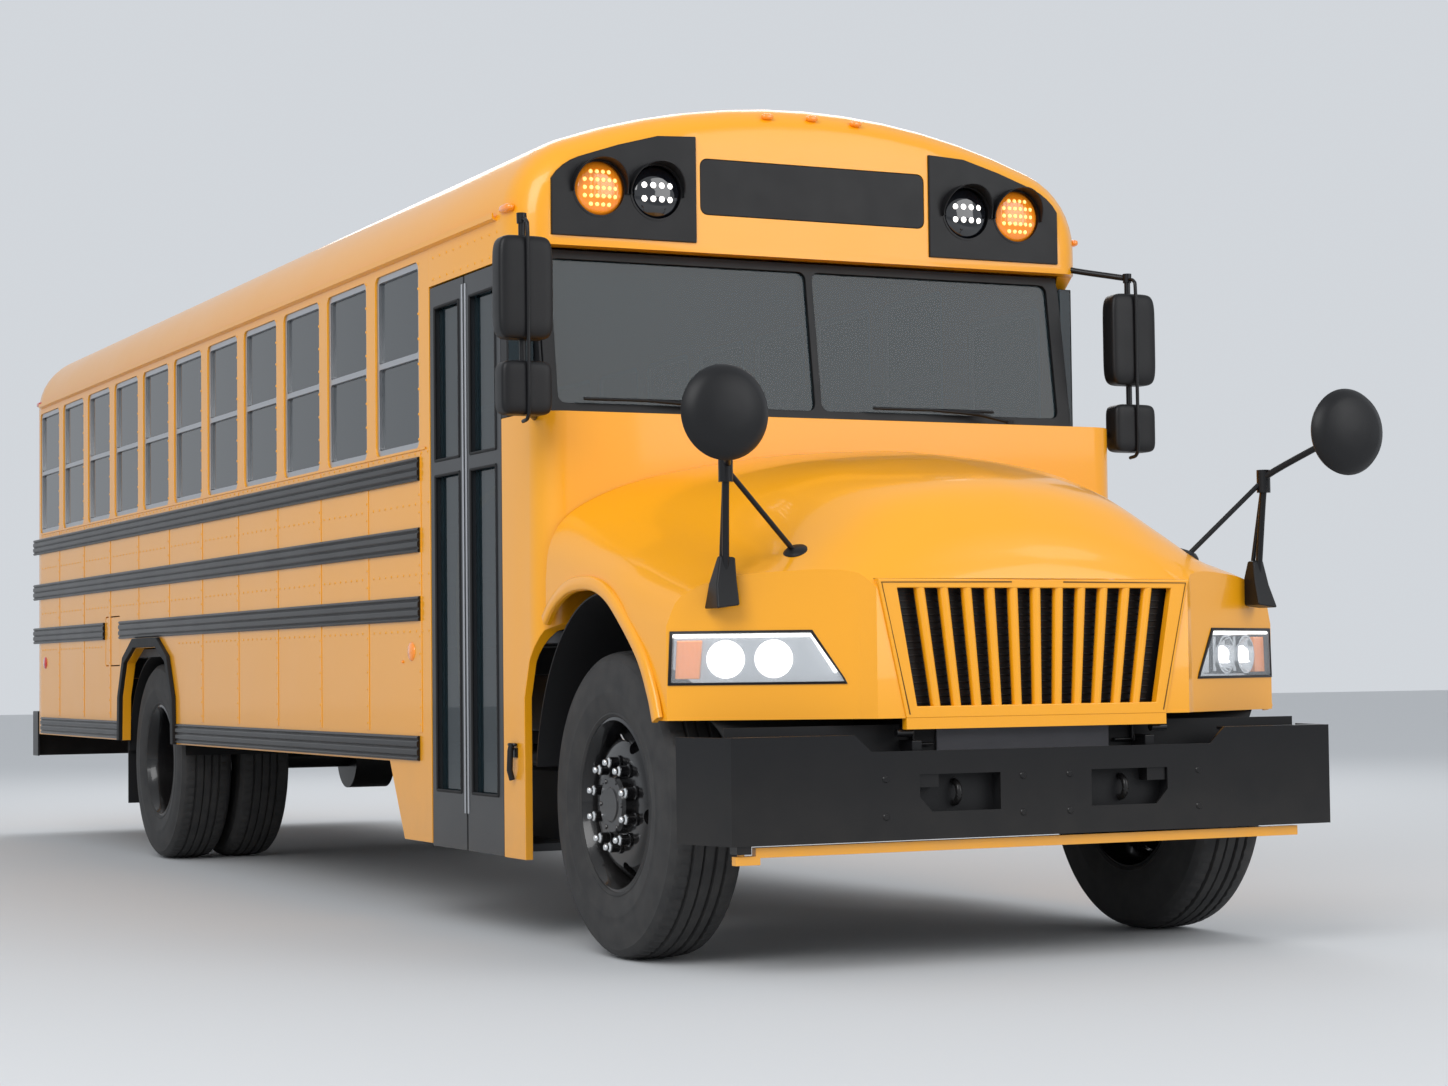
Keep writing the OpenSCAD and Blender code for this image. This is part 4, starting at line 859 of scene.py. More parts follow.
class BUS_OT_wheels(bpy.types.Operator):
    """Adds tyres with tread, wheels with their nuts, hub caps and valves"""

    bl_idname = "bus.wheels"
    bl_label = "Wheels"

    def execute(self, context):
        """Builds the six tyres and the wheels."""
        for side, name in ((1, "left"), (-1, "right")):
            for axle, node, rim in (("front", "tyre_front_" + name, "rim_front_" + name),
                                    ("rear", "tyres_rear_" + name, "rims_rear_" + name)):
                low, high = corners(node)
                mid = (low + high) / 2
                outer = (high[1] if side > 0 else -low[1]) - TYRE_HALF
                centres = [outer] if axle == "front" else [outer, outer - 0.31]
                rubber = Shape()
                for y in centres:
                    tyre(rubber, np.array([mid[0], y * side, mid[2]]))
                rubber.make("tread_" + node, "tyre_rubber", BODY_OF[node], (node,), angle=28)
                refined(rim, finish="wheel_black", edge=0, angle=32)
                self.fittings(axle, name, side, np.array([mid[0], outer * side, mid[2]]), BODY_OF[rim])
        return {"FINISHED"}

    def fittings(self, axle, name, side, centre, body):
        """Wheel nuts and studs on their circle, the hub's cap with its bolts, and the valve."""
        outward = np.array([0, side, 0.0])
        face = 0.100 if axle == "front" else -0.140
        nuts, tips, cap = Shape(), Shape(), Shape()
        for k in range(10):
            turn = math.radians(36 * k + 18)
            place = centre + [BOLT_CIRCLE * math.cos(turn), 0, -BOLT_CIRCLE * math.sin(turn)]
            place = place + outward * (face + 0.002)
            nuts.turned([(0.001, 0.0), (0.024, 0.0), (0.023, 0.006), (0.0185, 0.008), (0.0185, 0.037),
                         (0.001, 0.037)],
                        place, outward, 12)
            tips.turned([(0.001, 0.030), (0.0165, 0.030), (0.0165, 0.040), (0.0125, 0.044), (0.0115, 0.045),
                         (0.0115, 0.056), (0.009, 0.059), (0.001, 0.059)], place, outward, 12)
        nuts.make("wheel_nuts_%s_%s" % (axle, name), "wheel_black", body, angle=40)
        tips.make("stud_tips_%s_%s" % (axle, name), "chrome", body, slot="black_paint", angle=40)
        reach = face + (0.034 if axle == "front" else 0.0)
        cap.turned([(0.001, reach + 0.004), (0.055, reach + 0.004), (0.062, reach - 0.002),
                    (0.066, reach - 0.012),
                    (0.075, reach - 0.014), (0.075, reach - 0.03), (0.001, reach - 0.03)], centre, outward,
                   48)
        ring = np.linspace(0, TURN, 6, endpoint=False)
        spots = np.stack([0.088 * np.cos(ring), 0 * ring, 0.088 * np.sin(ring)], -1)
        spots = centre + spots + outward * (reach - 0.001)
        cap.heads(spots, outward, 0.009, 0.6)
        cap.make("hub_cap_%s_%s" % (axle, name), "wheel_black", body, angle=40)
        valve = Shape().rod([centre + [0.05, 0, 0.205] + outward * (face - 0.02),
                             centre + [0.055, 0, 0.225] + outward * (face + 0.01),
                             centre + [0.056, 0, 0.24] + outward * (face + 0.018)], 0.004, 8)
        valve.make("valve_%s_%s" % (axle, name), "chrome", body, slot="black_paint")


# ---------------------------------------------------------------- body
class BUS_OT_panels(bpy.types.Operator):
    """Adds the body's panels with rivets, laps, gutters and the white roof"""

    bl_idname = "bus.panels"
    bl_label = "Body panels"

    def execute(self, context):
        """Builds the body's skin."""
        edge = sizes().edge
        for node in ("left_wall", "right_wall", "cowl"):
            refined(node, edge=edge)
        for node in ("roof", "front_cap", "rear_wall"):
            refined(node, edge=0, angle=32)
        refined("rear_door", edge=edge)
        refined("fuel_door", edge=0.002)
        self.rivets_and_laps()
        self.roof_sheet()
        self.gutters()
        return {"FINISHED"}

    def rivets_and_laps(self):
        """Rivets in rows along the rails and the window line, and lapped joints at every second pillar."""
        radius, pitch = sizes().rivet, sizes().rivet_pitch
        low = corners("right_wall")[0]
        rivets, laps = Shape(), Shape()
        x0, x1 = low[0] + 0.04, DOOR_X[0] - 0.03
        stations = along(x0, x1, pitch)
        arch_low, arch_high = corners("wheel_arch_trim")
        for side in (1, -1):
            y = side * SIDE_Y
            for z in (1.645, 1.365, 1.845, 1.14):
                row = stations
                if side < 0 and z == 1.14:
                    fuel_low, fuel_high = corners("fuel_door")
                    row = stations[(stations < fuel_low[0] - 0.03) | (stations > fuel_high[0] + 0.03)]
                if z < 1.2:
                    row = row[(row < arch_low[0] - 0.03) | (row > arch_high[0] + 0.03)]
                rivets.heads(np.stack([row, np.full_like(row, y), np.full_like(row, z)], -1), (0, side, 0),
                             radius)
            for k in range(12):
                x = DOOR_X[0] - FIRST_PILLAR - k * WINDOW_PITCH
                if arch_low[0] - 0.05 < x < arch_high[0] + 0.05:
                    bottom = arch_high[2] + 0.03
                else:
                    bottom = 0.74
                if x < low[0] + 0.02:
                    continue
                laps.block((x - 0.02, y - side * 0.001, bottom), (x + 0.02, y + side * 0.0025, 1.85))
                heights = along(bottom + 0.03, 1.82, 0.07)
                rivets.heads(np.stack([np.full_like(heights, x), np.full_like(heights, y + side * 0.0024),
                                       heights], -1),
                             (0, side, 0), radius)
                upper = along(1.90, 2.60, 0.10)
                rivets.heads(np.stack([np.full_like(upper, x), np.full_like(upper, y), upper], -1),
                             (0, side, 0), radius)
        cap_low, cap_high = corners("front_cap")
        for side in (1, -1):
            for z in (2.515, 2.60):
                row = along(cap_low[0] + 0.05, cap_high[0] - 0.2, pitch)
                rivets.heads(np.stack([row, np.full_like(row, side * SIDE_Y), np.full_like(row, z)], -1),
                             (0, side, 0), radius)
        rivets.make("rivets", "yellow_paint", "chassis", angle=60)
        laps.make("lapped_joints", "yellow_paint", "chassis", edge=0.001)

    def roof_sheet(self):
        """White sheets over the roof's crown, left open round the hatches; each follows the crown's arc."""
        roof_low, roof_high = corners("roof")
        crown = corners("rear_wall")[1][2]
        gaps = sorted([(corners(n)[0][0], corners(n)[1][0])
                       for n in ("roof_hatch_front", "roof_hatch_rear")])
        stops = [roof_low[0] + 0.01, gaps[0][0] - 0.02, gaps[0][1] + 0.02, gaps[1][0] - 0.02,
                 gaps[1][1] + 0.02, roof_high[0] - 0.02]
        sheet = Shape()

        def strip(x0, x1, y0, y1):
            """One sheet between two stations and two distances from the middle."""
            y = np.linspace(y0, y1, 24)
            z = crown - CROWN_RADIUS + np.sqrt(CROWN_RADIUS**2 - y**2)
            top = np.stack([y, z + 0.003], -1)
            ring = np.concatenate([top, np.stack([y, z - 0.002], -1)[::-1]])
            sheet.tube(np.stack([np.insert(ring, 0, x, axis=1) for x in (x0, x1)]))

        for k in range(5):
            if k % 2 == 0:
                strip(stops[k], stops[k + 1], -SHEET_HALF, SHEET_HALF)
            else:
                strip(stops[k], stops[k + 1], -SHEET_HALF, -GAP_HALF)
                strip(stops[k], stops[k + 1], GAP_HALF, SHEET_HALF)
        sheet.make("roof_sheets", "white_paint", "chassis")
        bows = Shape()
        for x in along(roof_low[0] + 0.35, roof_high[0] - 0.4, 1.31):
            if all(abs(x - (a + b) / 2) > 0.45 for a, b in gaps):
                y = np.linspace(-SHEET_HALF, SHEET_HALF, 24)
                z = crown - CROWN_RADIUS + np.sqrt(CROWN_RADIUS**2 - y**2)
                rows = [np.stack([x + dx + 0 * y, y, z + dz], -1)
                        for dx, dz in ((-0.02, 0.001), (-0.015, 0.008), (0.015, 0.008), (0.02, 0.001))]
                bows.tube(np.stack(rows, 1))
        bows.make("roof_laps", "white_paint", "chassis")
        for node in ("roof_hatch_front", "roof_hatch_rear"):
            refined(node, edge=0.008)

    def gutters(self):
        """Gutters over the windows and the thin band under them, as bent strips carried along the body."""
        low = corners("right_wall")[0]
        trim = Shape()
        front = corners("front_cap")[1][0] - 0.20
        for side in (1, -1):
            for z, depth, height, x1 in ((2.642, 0.020, 0.028, front),
                                         (1.853, 0.006, 0.012, DOOR_X[0] - 0.05)):
                y = side * (SIDE_Y - 0.001)
                outline = np.array([(y, z), (y + side * depth, z + height * 0.25),
                                    (y + side * depth, z + height), (y + side * depth * 0.7, z + height),
                                    (y + side * depth * 0.6, z + height * 0.4), (y, z + height * 0.35)])
                trim.tube(np.stack([np.insert(outline, 0, x, axis=1) for x in (low[0] + 0.01, x1)]))
        trim.make("gutters", "yellow_paint", "chassis", angle=30)


class BUS_OT_openings(bpy.types.Operator):
    """Adds the windows, the windshield, the doors and their seals"""

    bl_idname = "bus.openings"
    bl_label = "Windows and doors"

    def execute(self, context):
        """Builds the openings."""
        refined("window_sashes", edge=0.002)
        refined("window_glass", edge=0)
        refined("windshield", finish="clear_glass", edge=0)
        refined("windshield_frame", edge=0.004)
        for leaf in ("front", "rear"):
            refined("door_leaf_" + leaf, edge=0.003)
            refined("door_glass_" + leaf, finish="clear_glass", edge=0)
        refined("rear_door_glass", edge=0)
        self.leaf_trim()
        self.rear_fittings()
        self.grab_rails()
        return {"FINISHED"}

    def leaf_trim(self):
        """Bright edge strips and rubber seals on the entrance leaves."""
        for leaf in ("front", "rear"):
            low, high = corners("door_leaf_" + leaf)
            x = (low[0] + 0.011) if leaf == "front" else (high[0] - 0.011)
            strip = Shape().block((x - 0.007, low[1] - 0.004, low[2] + 0.14),
                                  (x + 0.007, low[1] + 0.002, high[2] - 0.03))
            strip.make("leaf_strip_" + leaf, "sash_aluminium", BODY_OF["door_leaf_" + leaf], edge=0.002)
            seals = Shape()
            glass_low, glass_high = corners("door_glass_" + leaf)
            for z0, z1 in ((0.52, 1.74), (1.80, 2.40)):
                a, b = glass_low[0] - 0.002, glass_high[0] + 0.002
                y = low[1] + 0.001
                for p, q in (((a, z0), (b, z0)), ((b, z0), (b, z1)), ((b, z1), (a, z1)),
                             ((a, z1), (a, z0))):
                    seals.rod([(p[0], y, p[1]), (q[0], y, q[1])], 0.006, 8)
            seals.make("leaf_seals_" + leaf, "trim_rubber", BODY_OF["door_leaf_" + leaf])

    def rear_fittings(self):
        """The emergency door's handle and hinges, and a blank plate."""
        low, high = corners("rear_door")
        x = low[0]
        handle = Shape().turned([(0.001, 0.03), (0.03, 0.028), (0.034, 0.0), (0.001, 0.0)],
                                np.array([x, high[1] - 0.09, 1.78]), (-1, 0, 0), 24)
        handle.rod([(x - 0.022, high[1] - 0.09, 1.78), (x - 0.03, high[1] - 0.20, 1.775),
                    (x - 0.03, high[1] - 0.27, 1.77)], 0.010)
        handle.make("rear_door_handle", "black_paint", BODY_OF["rear_door"])
        hinges = Shape()
        for z in (1.25, 1.80, 2.40):
            hinges.block((x - 0.004, low[1] + 0.004, z - 0.05), (x + 0.001, low[1] + 0.09, z + 0.05))
            hinges.rod([(x - 0.006, low[1] - 0.002, z - 0.055), (x - 0.006, low[1] - 0.002, z + 0.055)],
                       0.008)
        hinges.make("rear_door_hinges", "black_paint", BODY_OF["rear_door"], edge=0.001)
        plate = Shape().block((BODY_REAR - 0.006, 0.48, 1.30), (BODY_REAR + 0.002, 0.80, 1.46))
        plate.make("blank_plate", "white_paint", "chassis", edge=0.002)

    def grab_rails(self):
        """Yellow handrails inside the doorway."""
        rails = Shape()
        for x in (DOOR_X[0] + 0.10, DOOR_X[1] - 0.10):
            path = spline([(x, -1.10, 0.75), (x, -1.13, 0.95), (x, -1.12, 1.5), (x, -0.95, 1.72),
                           (x, -0.62, 1.95)], 24)
            rails.rod(path, 0.016)
        rails.make("grab_rails", "grab_yellow", "chassis")


class BUS_OT_lamps(bpy.types.Operator):
    """Adds the warning lamps, clearance lamps, reflectors and the blank header sign"""

    bl_idname = "bus.lamps"
    bl_label = "Lamps"

    def execute(self, context):
        """Builds the lamps."""
        refined("amber_lamps", edge=0, angle=50)
        self.inner_lamps()
        refined("lamp_panels", edge=0.004)
        visors, bezels = Shape(), Shape()
        for x, facing in ((CAP_FRONT + 0.008, 1), (BODY_REAR - 0.008, -1)):
            for y in (INNER_LAMP, OUTER_LAMP):
                for side in (1, -1):
                    centre = np.array([x, side * y, LAMP_Z])
                    angle = np.linspace(-0.15, math.pi + 0.15, 30)
                    reach = 0.02 + 0.05 * np.sin(np.clip(angle, 0, math.pi))
                    rows = []
                    for radius, share in ((0.106, 0), (0.106, 1), (0.110, 1), (0.110, 0)):
                        rows.append(np.stack([x + facing * reach * share,
                                              centre[1] + radius * np.cos(angle),
                                              LAMP_Z + radius * np.sin(angle)], -1))
                    visors.tube(np.stack(rows, 1))
                    bezels.ring([(0.100, -0.01), (0.100, 0.004), (0.107, 0.004), (0.107, -0.01)], centre,
                                (facing, 0, 0), 48)
        visors.make("lamp_visors", "black_plastic", "chassis", angle=40)
        bezels.make("lamp_bezels", "black_plastic", "chassis")
        self.clearance()
        self.reflectors()
        return {"FINISHED"}

    def inner_lamps(self):
        """Red rear lamps, dark front lamps, and rows of lit points on the front lenses."""
        dome = [(0.001, 0.052), (0.05, 0.048), (0.088, 0.038), (0.100, 0.026), (0.100, 0.0), (0.001, 0.0)]
        red, clear, white, amber = Shape(), Shape(), Shape(), Shape()
        for side in (1, -1):
            red.turned(dome, np.array([BODY_REAR + 0.0075, side * OUTER_LAMP, LAMP_Z]), (-1, 0, 0), 48)
            for y in (0.560, 0.790):
                red.turned(np.array(dome) * 0.9, np.array([BODY_REAR - 0.0005, side * y, 1.64]), (-1, 0, 0),
                           48)
            root = np.array([CAP_FRONT - 0.0295, side * INNER_LAMP, LAMP_Z])
            clear.turned(dome, root, (1, 0, 0), 48)
            for shape, y, columns, rows in ((white, INNER_LAMP, np.linspace(-0.051, 0.051, 4),
                                             (-0.027, 0.023)),
                                            (amber, OUTER_LAMP, np.linspace(-0.06, 0.06, 6),
                                             np.linspace(-0.06, 0.06, 5))):
                dy, dz = (grid.ravel() for grid in np.meshgrid(columns, rows))
                inside = np.hypot(dy, dz) < 0.074
                dy, dz = dy[inside], dz[inside]
                bulge = 0.0515 - 1.6 * (dy**2 + dz**2)
                spots = np.stack([CAP_FRONT - 0.0295 + bulge - 0.001, side * y + dy, LAMP_Z + dz], -1)
                shape.heads(spots, (1, 0, 0), 0.012 if y == INNER_LAMP else 0.009, 0.35, 10)
        red.make("rear_red_lamps", "red_lens", "chassis", ("red_lamps",), angle=50)
        clear.make("front_clear_lamps", "lamp_dark", "chassis", angle=50)
        white.make("front_white_points", "lamp_lit", "chassis")
        amber.make("front_amber_points", "amber_lit", "chassis")

    def clearance(self):
        """Small amber domes over the front, red ones over the rear, and one on each shoulder."""
        crown = corners("rear_wall")[1][2]
        amber, red, black = Shape(), Shape(), Shape()
        for y in (-0.19, 0.0, 0.19):
            z = crown - 0.052 - y * y / 5.7
            amber.pillow((CAP_FRONT - 0.012, y, z), (0.014, 0.024, 0.011), 0.7, 16, 8)
            red.pillow((BODY_REAR + 0.012, y, z), (0.014, 0.024, 0.011), 0.7, 16, 8)
        for side in (1, -1):
            amber.pillow((CAP_FRONT - 0.11, side * (SIDE_Y - 0.004), 2.675), (0.05, 0.018, 0.014), 0.6, 16,
                         8)
            red.pillow((BODY_REAR + 0.14, side * (SIDE_Y - 0.006), 2.675), (0.05, 0.018, 0.014), 0.6, 16, 8)
            amber.pillow((DOOR_X[0] - 0.34, side * (SIDE_Y + 0.002), 1.02), (0.006, 0.006, 0.006), 1.0, 12,
                         6)
        black.rod([(CAP_FRONT - 0.33, -0.17, crown - 0.03), (CAP_FRONT - 0.33, -0.17, crown + 0.012)], 0.03,
                  20)
        amber.make("clearance_amber", "amber_lens", "chassis", angle=60)
        red.make("clearance_red", "red_lens", "chassis", angle=60)
        black.make("aerial_base", "black_plastic", "chassis")

    def reflectors(self):
        """Round side reflectors: amber ahead, red behind."""
        for name, finish, x in (("amber", "amber_lens", DOOR_X[0] - 0.235),
                                ("red", "red_lens", BODY_REAR + 0.32)):
            shape = Shape()
            for side in (1, -1):
                shape.turned([(0.001, 0.010), (0.03, 0.008), (0.036, 0.004), (0.038, 0.0), (0.001, 0.0)],
                             np.array([x, side * SIDE_Y, 1.06]), (0, side, 0), 28)
            # painted light: the lenses' faint glow makes these reflectors shine, though they are no lamps
            shape.make("side_reflectors_" + name, finish, "chassis", angle=50)


class BUS_OT_trim(bpy.types.Operator):
    """Adds rub rails, arch trim, bumpers, mirrors, wipers, flaps, latches and the two arms"""

    bl_idname = "bus.trim"
    bl_label = "Trim"

    def execute(self, context):
        """Builds the trim."""
        refined("rub_rails", edge=0.001)
        for node in ("wheel_arch_trim", "front_bumper", "rear_bumper"):
            refined(node, edge=0.004)
        refined("wipers", edge=0)
        refined("crossing_arm", edge=0.003)
        self.side_mirrors()
        self.stop_arm()
        self.small_parts()
        return {"FINISHED"}

    def side_mirrors(self):
        """Two soft-cornered heads on each side, with bright faces, on an upright with bent arms."""
        faces, heads, arms = Shape(), Shape(), Shape()
        for x, side, z in ((FRONT_AXLE - 0.36, -1, 2.135), (FRONT_AXLE - 0.56, 1, 2.08)):
            y = side * (SIDE_Y + 0.11)
            for z0, z1, half in ((z, z + 0.365, 0.1025), (z - 0.265, z - 0.075, 0.095)):
                middle = (z0 + z1) / 2
                heads.pillow((x + 0.006, y, middle), (0.046, half, (z1 - z0) / 2), 0.30, 44, 26)
                faces.pillow((x - 0.0375, y, middle), (0.004, half - 0.018, (z1 - z0) / 2 - 0.018), 0.25,
                             32, 12)
            arms.rod([(x, y, 1.88), (x, y, z + 0.44)], 0.012)
            arms.rod(spline([(x, y, z + 0.425), (x + 0.045, y, z + 0.415), (x + 0.058, y, z + 0.36),
                             (x + 0.058, y, z + 0.05),
                             (x + 0.058, y, z - 0.22), (x + 0.045, y, z - 0.275), (x, y, z - 0.285)], 40),
                     0.007)
            arms.rod([(x, y, 1.90), (FRONT_AXLE - 0.60, side * 1.18, 1.88)], 0.012)
            arms.rod(spline([(x, y, z + 0.43), (x - 0.03, y - side * 0.02, z + 0.438),
                             (FRONT_AXLE - 0.70, side * 1.19, 2.55),
                             (FRONT_AXLE - 0.74, side * 1.15, 2.565)], 24), 0.012)
            for z0 in (1.90, z + 0.43):
                arms.turned([(0.001, -0.02), (0.017, -0.018), (0.018, 0.018), (0.001, 0.02)], (x, y, z0),
                            (0, 0, 1), 16)
        heads.make("side_mirror_heads", "black_plastic", "chassis", ("side_mirrors",), angle=60)
        arms.make("side_mirror_arms", "black_paint", "chassis")
        faces.make("side_mirror_faces", "mirror_face", "chassis", slot="black_plastic")

    def stop_arm(self):
        """The blank eight-sided blade with a white border on both faces."""
        refined("stop_arm", edge=0.001)
        low, high = corners("stop_arm")
        centre = np.array([low[0] + 0.2255, (low[1] + high[1]) / 2, (low[2] + high[2]) / 2])
        turn = (np.arange(8) + 0.5) * TURN / 8
        border = Shape()
        for face in (1, -1):
            rows = []
            for radius, lift in ((0.240, 0.0035), (0.240, 0.005), (0.222, 0.005), (0.222, 0.0035)):
                rows.append(centre + np.stack([radius * np.cos(turn), np.full(8, face * lift),
                                               radius * np.sin(turn)], -1))
            border.tube(np.stack(rows, 1), closed_path=True)
        border.make("stop_arm_border", "white_paint", BODY_OF["stop_arm"], slot="red_paint")

    def small_parts(self):
        """Mud flaps, hood latches, tow hooks in the bumper and bolts on its face."""
        rubber, steel = Shape(), Shape()
        for side in (1, -1):
            rubber.block((REAR_AXLE - 0.640, side * 0.60, 0.27), (REAR_AXLE - 0.632, side * 1.17, 0.96))
            x, y = FRONT_AXLE - 0.746, side * SIDE_Y
            steel.block((x - 0.03, y, 0.665), (x + 0.03, y + side * 0.006, 0.70))
            rubber.rod([(x, y + side * 0.012, 0.715), (x + 0.004, y + side * 0.02, 0.69),
                        (x + 0.002, y + side * 0.022, 0.62), (x, y + side * 0.012, 0.585)], 0.011)
            steel.rod([(x - 0.035, y + side * 0.010, 0.712), (x + 0.035, y + side * 0.010, 0.712)], 0.006)
        self.rear_housings()
        face = corners("front_bumper")[1][0]
        pockets = Shape()
        for side in (1, -1):
            back, y0, y1 = face - 0.058, side * 0.168, side * 0.482
            pockets.block((back - 0.004, y0, 0.505), (back, y1, 0.640))
            for z in (0.504, 0.637):
                pockets.block((back, y0, z), (face - 0.011, y1, z + 0.003))
            for y in (y0, y1):
                pockets.block((back, y, 0.505), (face - 0.011, y + side * 0.003, 0.640))
        pockets.block((face - 0.150, -1.10, 0.60), (face - 0.145, 1.10, 0.79))
        pockets.make("bumper_pockets", "trim_rubber", "chassis")
        bolts = np.array([(face, s * y, z) for s in (1, -1)
                          for y, z in ((0.60, 0.50), (0.60, 0.62), (0.09, 0.50), (0.09, 0.62))])
        steel.heads(bolts, (1, 0, 0), 0.013, 0.35, 10)
        hooks = Shape()
        for side in (1, -1):
            turn = np.linspace(0, math.pi, 14)
            path = np.stack([face - 0.055 + 0.035 * np.sin(turn), np.full(14, side * 0.32),
                             0.57 + 0.035 * np.cos(turn)], -1)
            hooks.rod(path, 0.011)
        hooks.make("tow_hooks", "black_paint", "chassis")
        rubber.make("flaps_and_latches", "trim_rubber", "chassis", edge=0.001)
        steel.make("latch_steel", "black_paint", "chassis", edge=0.001)

    def rear_housings(self):
        """Dark tunnels over the rear wheels, and plates where the frame meets the rear wall."""
        shape = Shape()
        lift = np.radians(np.linspace(4, 176, 40))
        for side in (1, -1):
            rows = [np.stack([REAR_AXLE + (0.600 + grow) * np.cos(lift), np.full(40, side * y),
                              HUB_Z + (0.562 + grow) * np.sin(lift)], -1)
                    for grow, y in ((0, 0.505), (0, 1.172), (0.006, 1.172), (0.006, 0.505))]
            shape.tube(np.stack(rows, 1))
            fan = np.stack([0.600 * np.cos(lift), 0.562 * np.sin(lift)], -1) + [REAR_AXLE, HUB_Z]
            shape.tube(np.stack([np.insert(fan, 1, side * y, axis=1) for y in (0.500, 0.507)]))
            shape.block((BODY_REAR + 0.006, side * 0.346, 0.625), (BODY_REAR + 0.034, side * 0.434, 0.962))
        shape.make("rear_wheel_housings", "trim_rubber", "chassis")


class BUS_OT_cabin(bpy.types.Operator):
    """Adds the seats, the dashboard, the steering wheel and the floor"""

    bl_idname = "bus.cabin"
    bl_label = "Cabin"

    def execute(self, context):
        """Builds the cabin."""
        for node in ("floor", "entry_steps", "dashboard"):
            refined(node, edge=0.004)
        refined("steering_wheel", edge=0)
        deck = corners("floor")[1][2]
        low, high = corners("passenger_seats")
        pitch = (high[0] - low[0] - 0.52) / 9
        pads, legs = Shape(), Shape()
        for k in range(10):
            for side in (1, -1):
                inner, outer = 0.355, 1.155
                self.seat(pads, legs, np.array([high[0] - 0.43 - k * pitch, side * (inner + outer) / 2,
                                                deck]), 0.80, 0.96)
        covers = pads.make("passenger_cushions", "seat_vinyl", "chassis", ("passenger_seats",), angle=60)
        legs.make("seat_legs_round", "black_paint", "chassis", ("seat_legs",))
        low, high = corners("driver_seat")
        pads, legs = Shape(), Shape()
        self.seat(pads, legs, np.array([low[0] + 0.09, (low[1] + high[1]) / 2, deck]), 0.48, 1.05)
        cover = pads.make("driver_cushions", "seat_vinyl", "chassis", ("driver_seat",), angle=60)
        legs.make("driver_seat_base", "black_paint", "chassis")
        return {"FINISHED"}

    def seat(self, pads, legs, corner, width, top):
        """A bench: a crowned cushion, a crowned back, and legs under the aisle and wall ends."""
        x, y, z = corner
        half = width / 2 - 0.004
        pads.pillow((x + 0.215, y, z + 0.335), (0.213, half, 0.083), 0.28)
        pads.pillow((x - 0.045, y, z + (0.25 + top) / 2), (0.044, half, (top - 0.25) / 2 - 0.002), 0.28)
        for dx in (0.045, 0.375):
            for dy in (-half + 0.07, half - 0.07):
                legs.rod([(x + dx, y + dy, z + 0.002), (x + dx, y + dy, z + 0.27)], 0.014, 10)


class BUS_OT_running_gear(bpy.types.Operator):
    """Adds the frame, axles, springs, tank, exhaust and engine as finished pieces"""

    bl_idname = "bus.running_gear"
    bl_label = "Running gear"

    def execute(self, context):
        """Builds what stands under the body."""
        for node in ("frame_rails", "front_axle", "rear_axle", "leaf_springs", "fuel_tank", "engine",
                     "radiator",
                     "knuckle_left", "knuckle_right"):
            refined(node, edge=0.004)
        refined("exhaust", edge=0, angle=40)
        return {"FINISHED"}


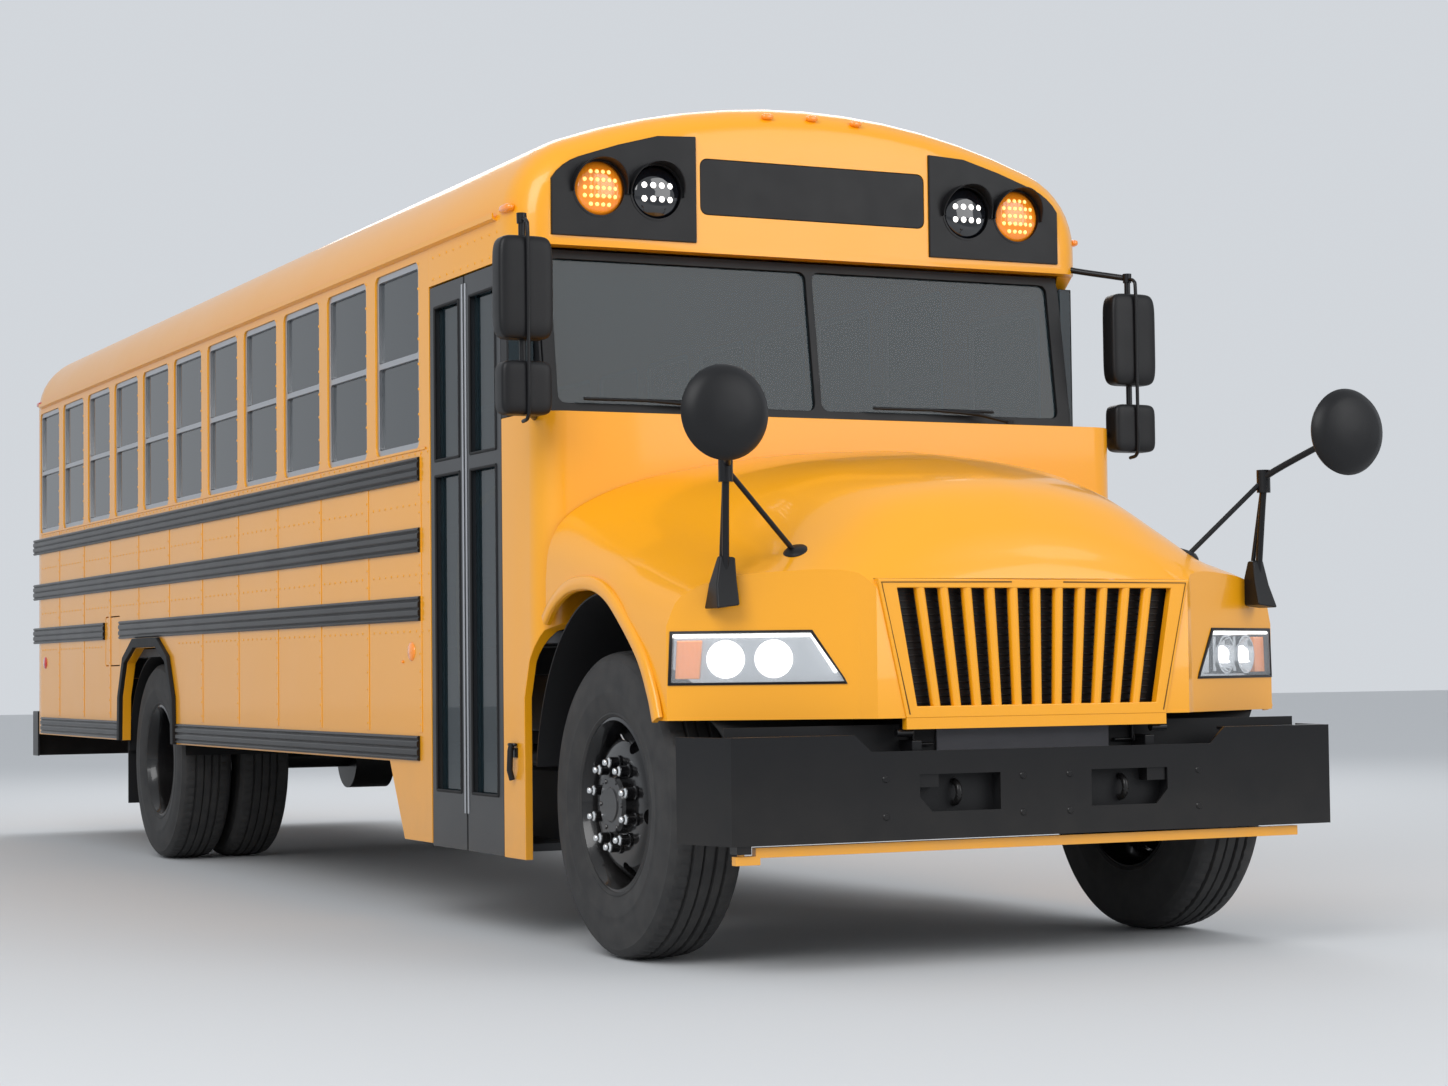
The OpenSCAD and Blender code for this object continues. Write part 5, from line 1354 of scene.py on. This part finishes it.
class BUS_OT_stage(bpy.types.Operator):
    """Adds the floor, the soft lights and the camera"""

    bl_idname = "bus.stage"
    bl_label = "Stage"

    def execute(self, context):
        """Builds the stage."""
        scene = context.scene
        scene.view_settings.view_transform = "Standard"
        floor = Shape().block((-60, -60, -0.05), (60, 60, -0.0005))
        ground = bpy.data.meshes.new("ground")
        ground.from_pydata(np.concatenate(floor.points).tolist(), [], floor.faces)
        ground.materials.append(Finish("ground", (0.62, 0.63, 0.64), 0.85).material)
        stage_floor = bpy.data.objects.new("ground", ground)
        scene.collection.objects.link(stage_floor)
        self.world(scene)
        for name, place, aim, size, power in (
            ("key", (FRONT_AXLE + 7, -9, 9), (0, 0, 1.2), 8.0, 900),
            ("fill", (FRONT_AXLE + 10, 6, 6), (3, 0, 1.0), 7.0, 380),
            ("back", (-9, 5, 9), (0, 0, 1.5), 8.0, 500),
        ):
            lamp = bpy.data.lights.new(name, "AREA")
            lamp.size, lamp.energy = size, power
            holder = bpy.data.objects.new(name, lamp)
            holder.location = place
            holder.rotation_euler = (Vector(aim) - Vector(place)).to_track_quat("-Z", "Y").to_euler()
            scene.collection.objects.link(holder)
        self.camera(scene)
        return {"FINISHED"}

    def world(self, scene):
        """A pale world of one even colour."""
        world = bpy.data.worlds.new("studio")
        world.use_nodes = True
        world.node_tree.nodes["Background"].inputs["Color"].default_value = (0.86, 0.90, 0.95, 1)
        world.node_tree.nodes["Background"].inputs["Strength"].default_value = 0.75
        scene.world = world

    def camera(self, scene):
        """The camera stands low at the front corner on the entrance side and looks a little up."""
        yaw, pitch, roll = math.radians(25.552), math.radians(2.55), math.radians(-0.659)
        ahead = Vector((-math.cos(yaw) * math.cos(pitch), math.sin(yaw) * math.cos(pitch), math.sin(pitch)))
        right = ahead.cross(Vector((0, 0, 1))).normalized()
        up = right.cross(ahead)
        turned_right = right * math.cos(roll) + up * math.sin(roll)
        turned_up = up * math.cos(roll) - right * math.sin(roll)
        data = bpy.data.cameras.new("camera")
        data.lens, data.sensor_width = sizes().lens, 36
        camera = bpy.data.objects.new("camera", data)
        rotation = Matrix((turned_right, turned_up, -ahead)).transposed()
        camera.matrix_world = Matrix.Translation((FRONT_AXLE + 8.796, -4.934, 0.979)) @ rotation.to_4x4()
        scene.collection.objects.link(camera)
        scene.camera = camera


OPERATORS = (BUS_OT_stage, BUS_OT_nose, BUS_OT_headlamps, BUS_OT_wheels, BUS_OT_panels, BUS_OT_openings,
             BUS_OT_lamps,
             BUS_OT_trim, BUS_OT_cabin, BUS_OT_running_gear)


class BUS_PT_panel(bpy.types.Panel):
    """Lists the bus's sizes, colours and pieces in the sidebar"""

    bl_idname = "BUS_PT_panel"
    bl_label = "School bus"
    bl_space_type = "VIEW_3D"
    bl_region_type = "UI"
    bl_category = "School bus"

    def draw(self, context):
        """Draws the sizes, the colours and a button for each group of pieces."""
        for group in (context.scene.bus_sizes, context.scene.bus_colours):
            for name in group.bl_rna.properties.keys():
                if name not in ("rna_type", "name"):
                    self.layout.prop(group, name)
        for operator in OPERATORS:
            self.layout.operator(operator.bl_idname)


CLASSES = (BusSizes, BusColours, *OPERATORS, BUS_PT_panel)


def register():
    """Registers the classes and hangs the property groups on the scene."""
    for item in CLASSES:
        bpy.utils.register_class(item)
    bpy.types.Scene.bus_sizes = bpy.props.PointerProperty(type=BusSizes)
    bpy.types.Scene.bus_colours = bpy.props.PointerProperty(type=BusColours)


def unregister():
    """Takes the property groups and the classes away again."""
    del bpy.types.Scene.bus_colours
    del bpy.types.Scene.bus_sizes
    for item in reversed(CLASSES):
        bpy.utils.unregister_class(item)


def main():
    """Builds the whole bus."""
    register()
    make_materials()
    for operator in OPERATORS:
        group, name = operator.bl_idname.split(".")
        getattr(getattr(bpy.ops, group), name)()


if __name__ == "__main__":
    main()
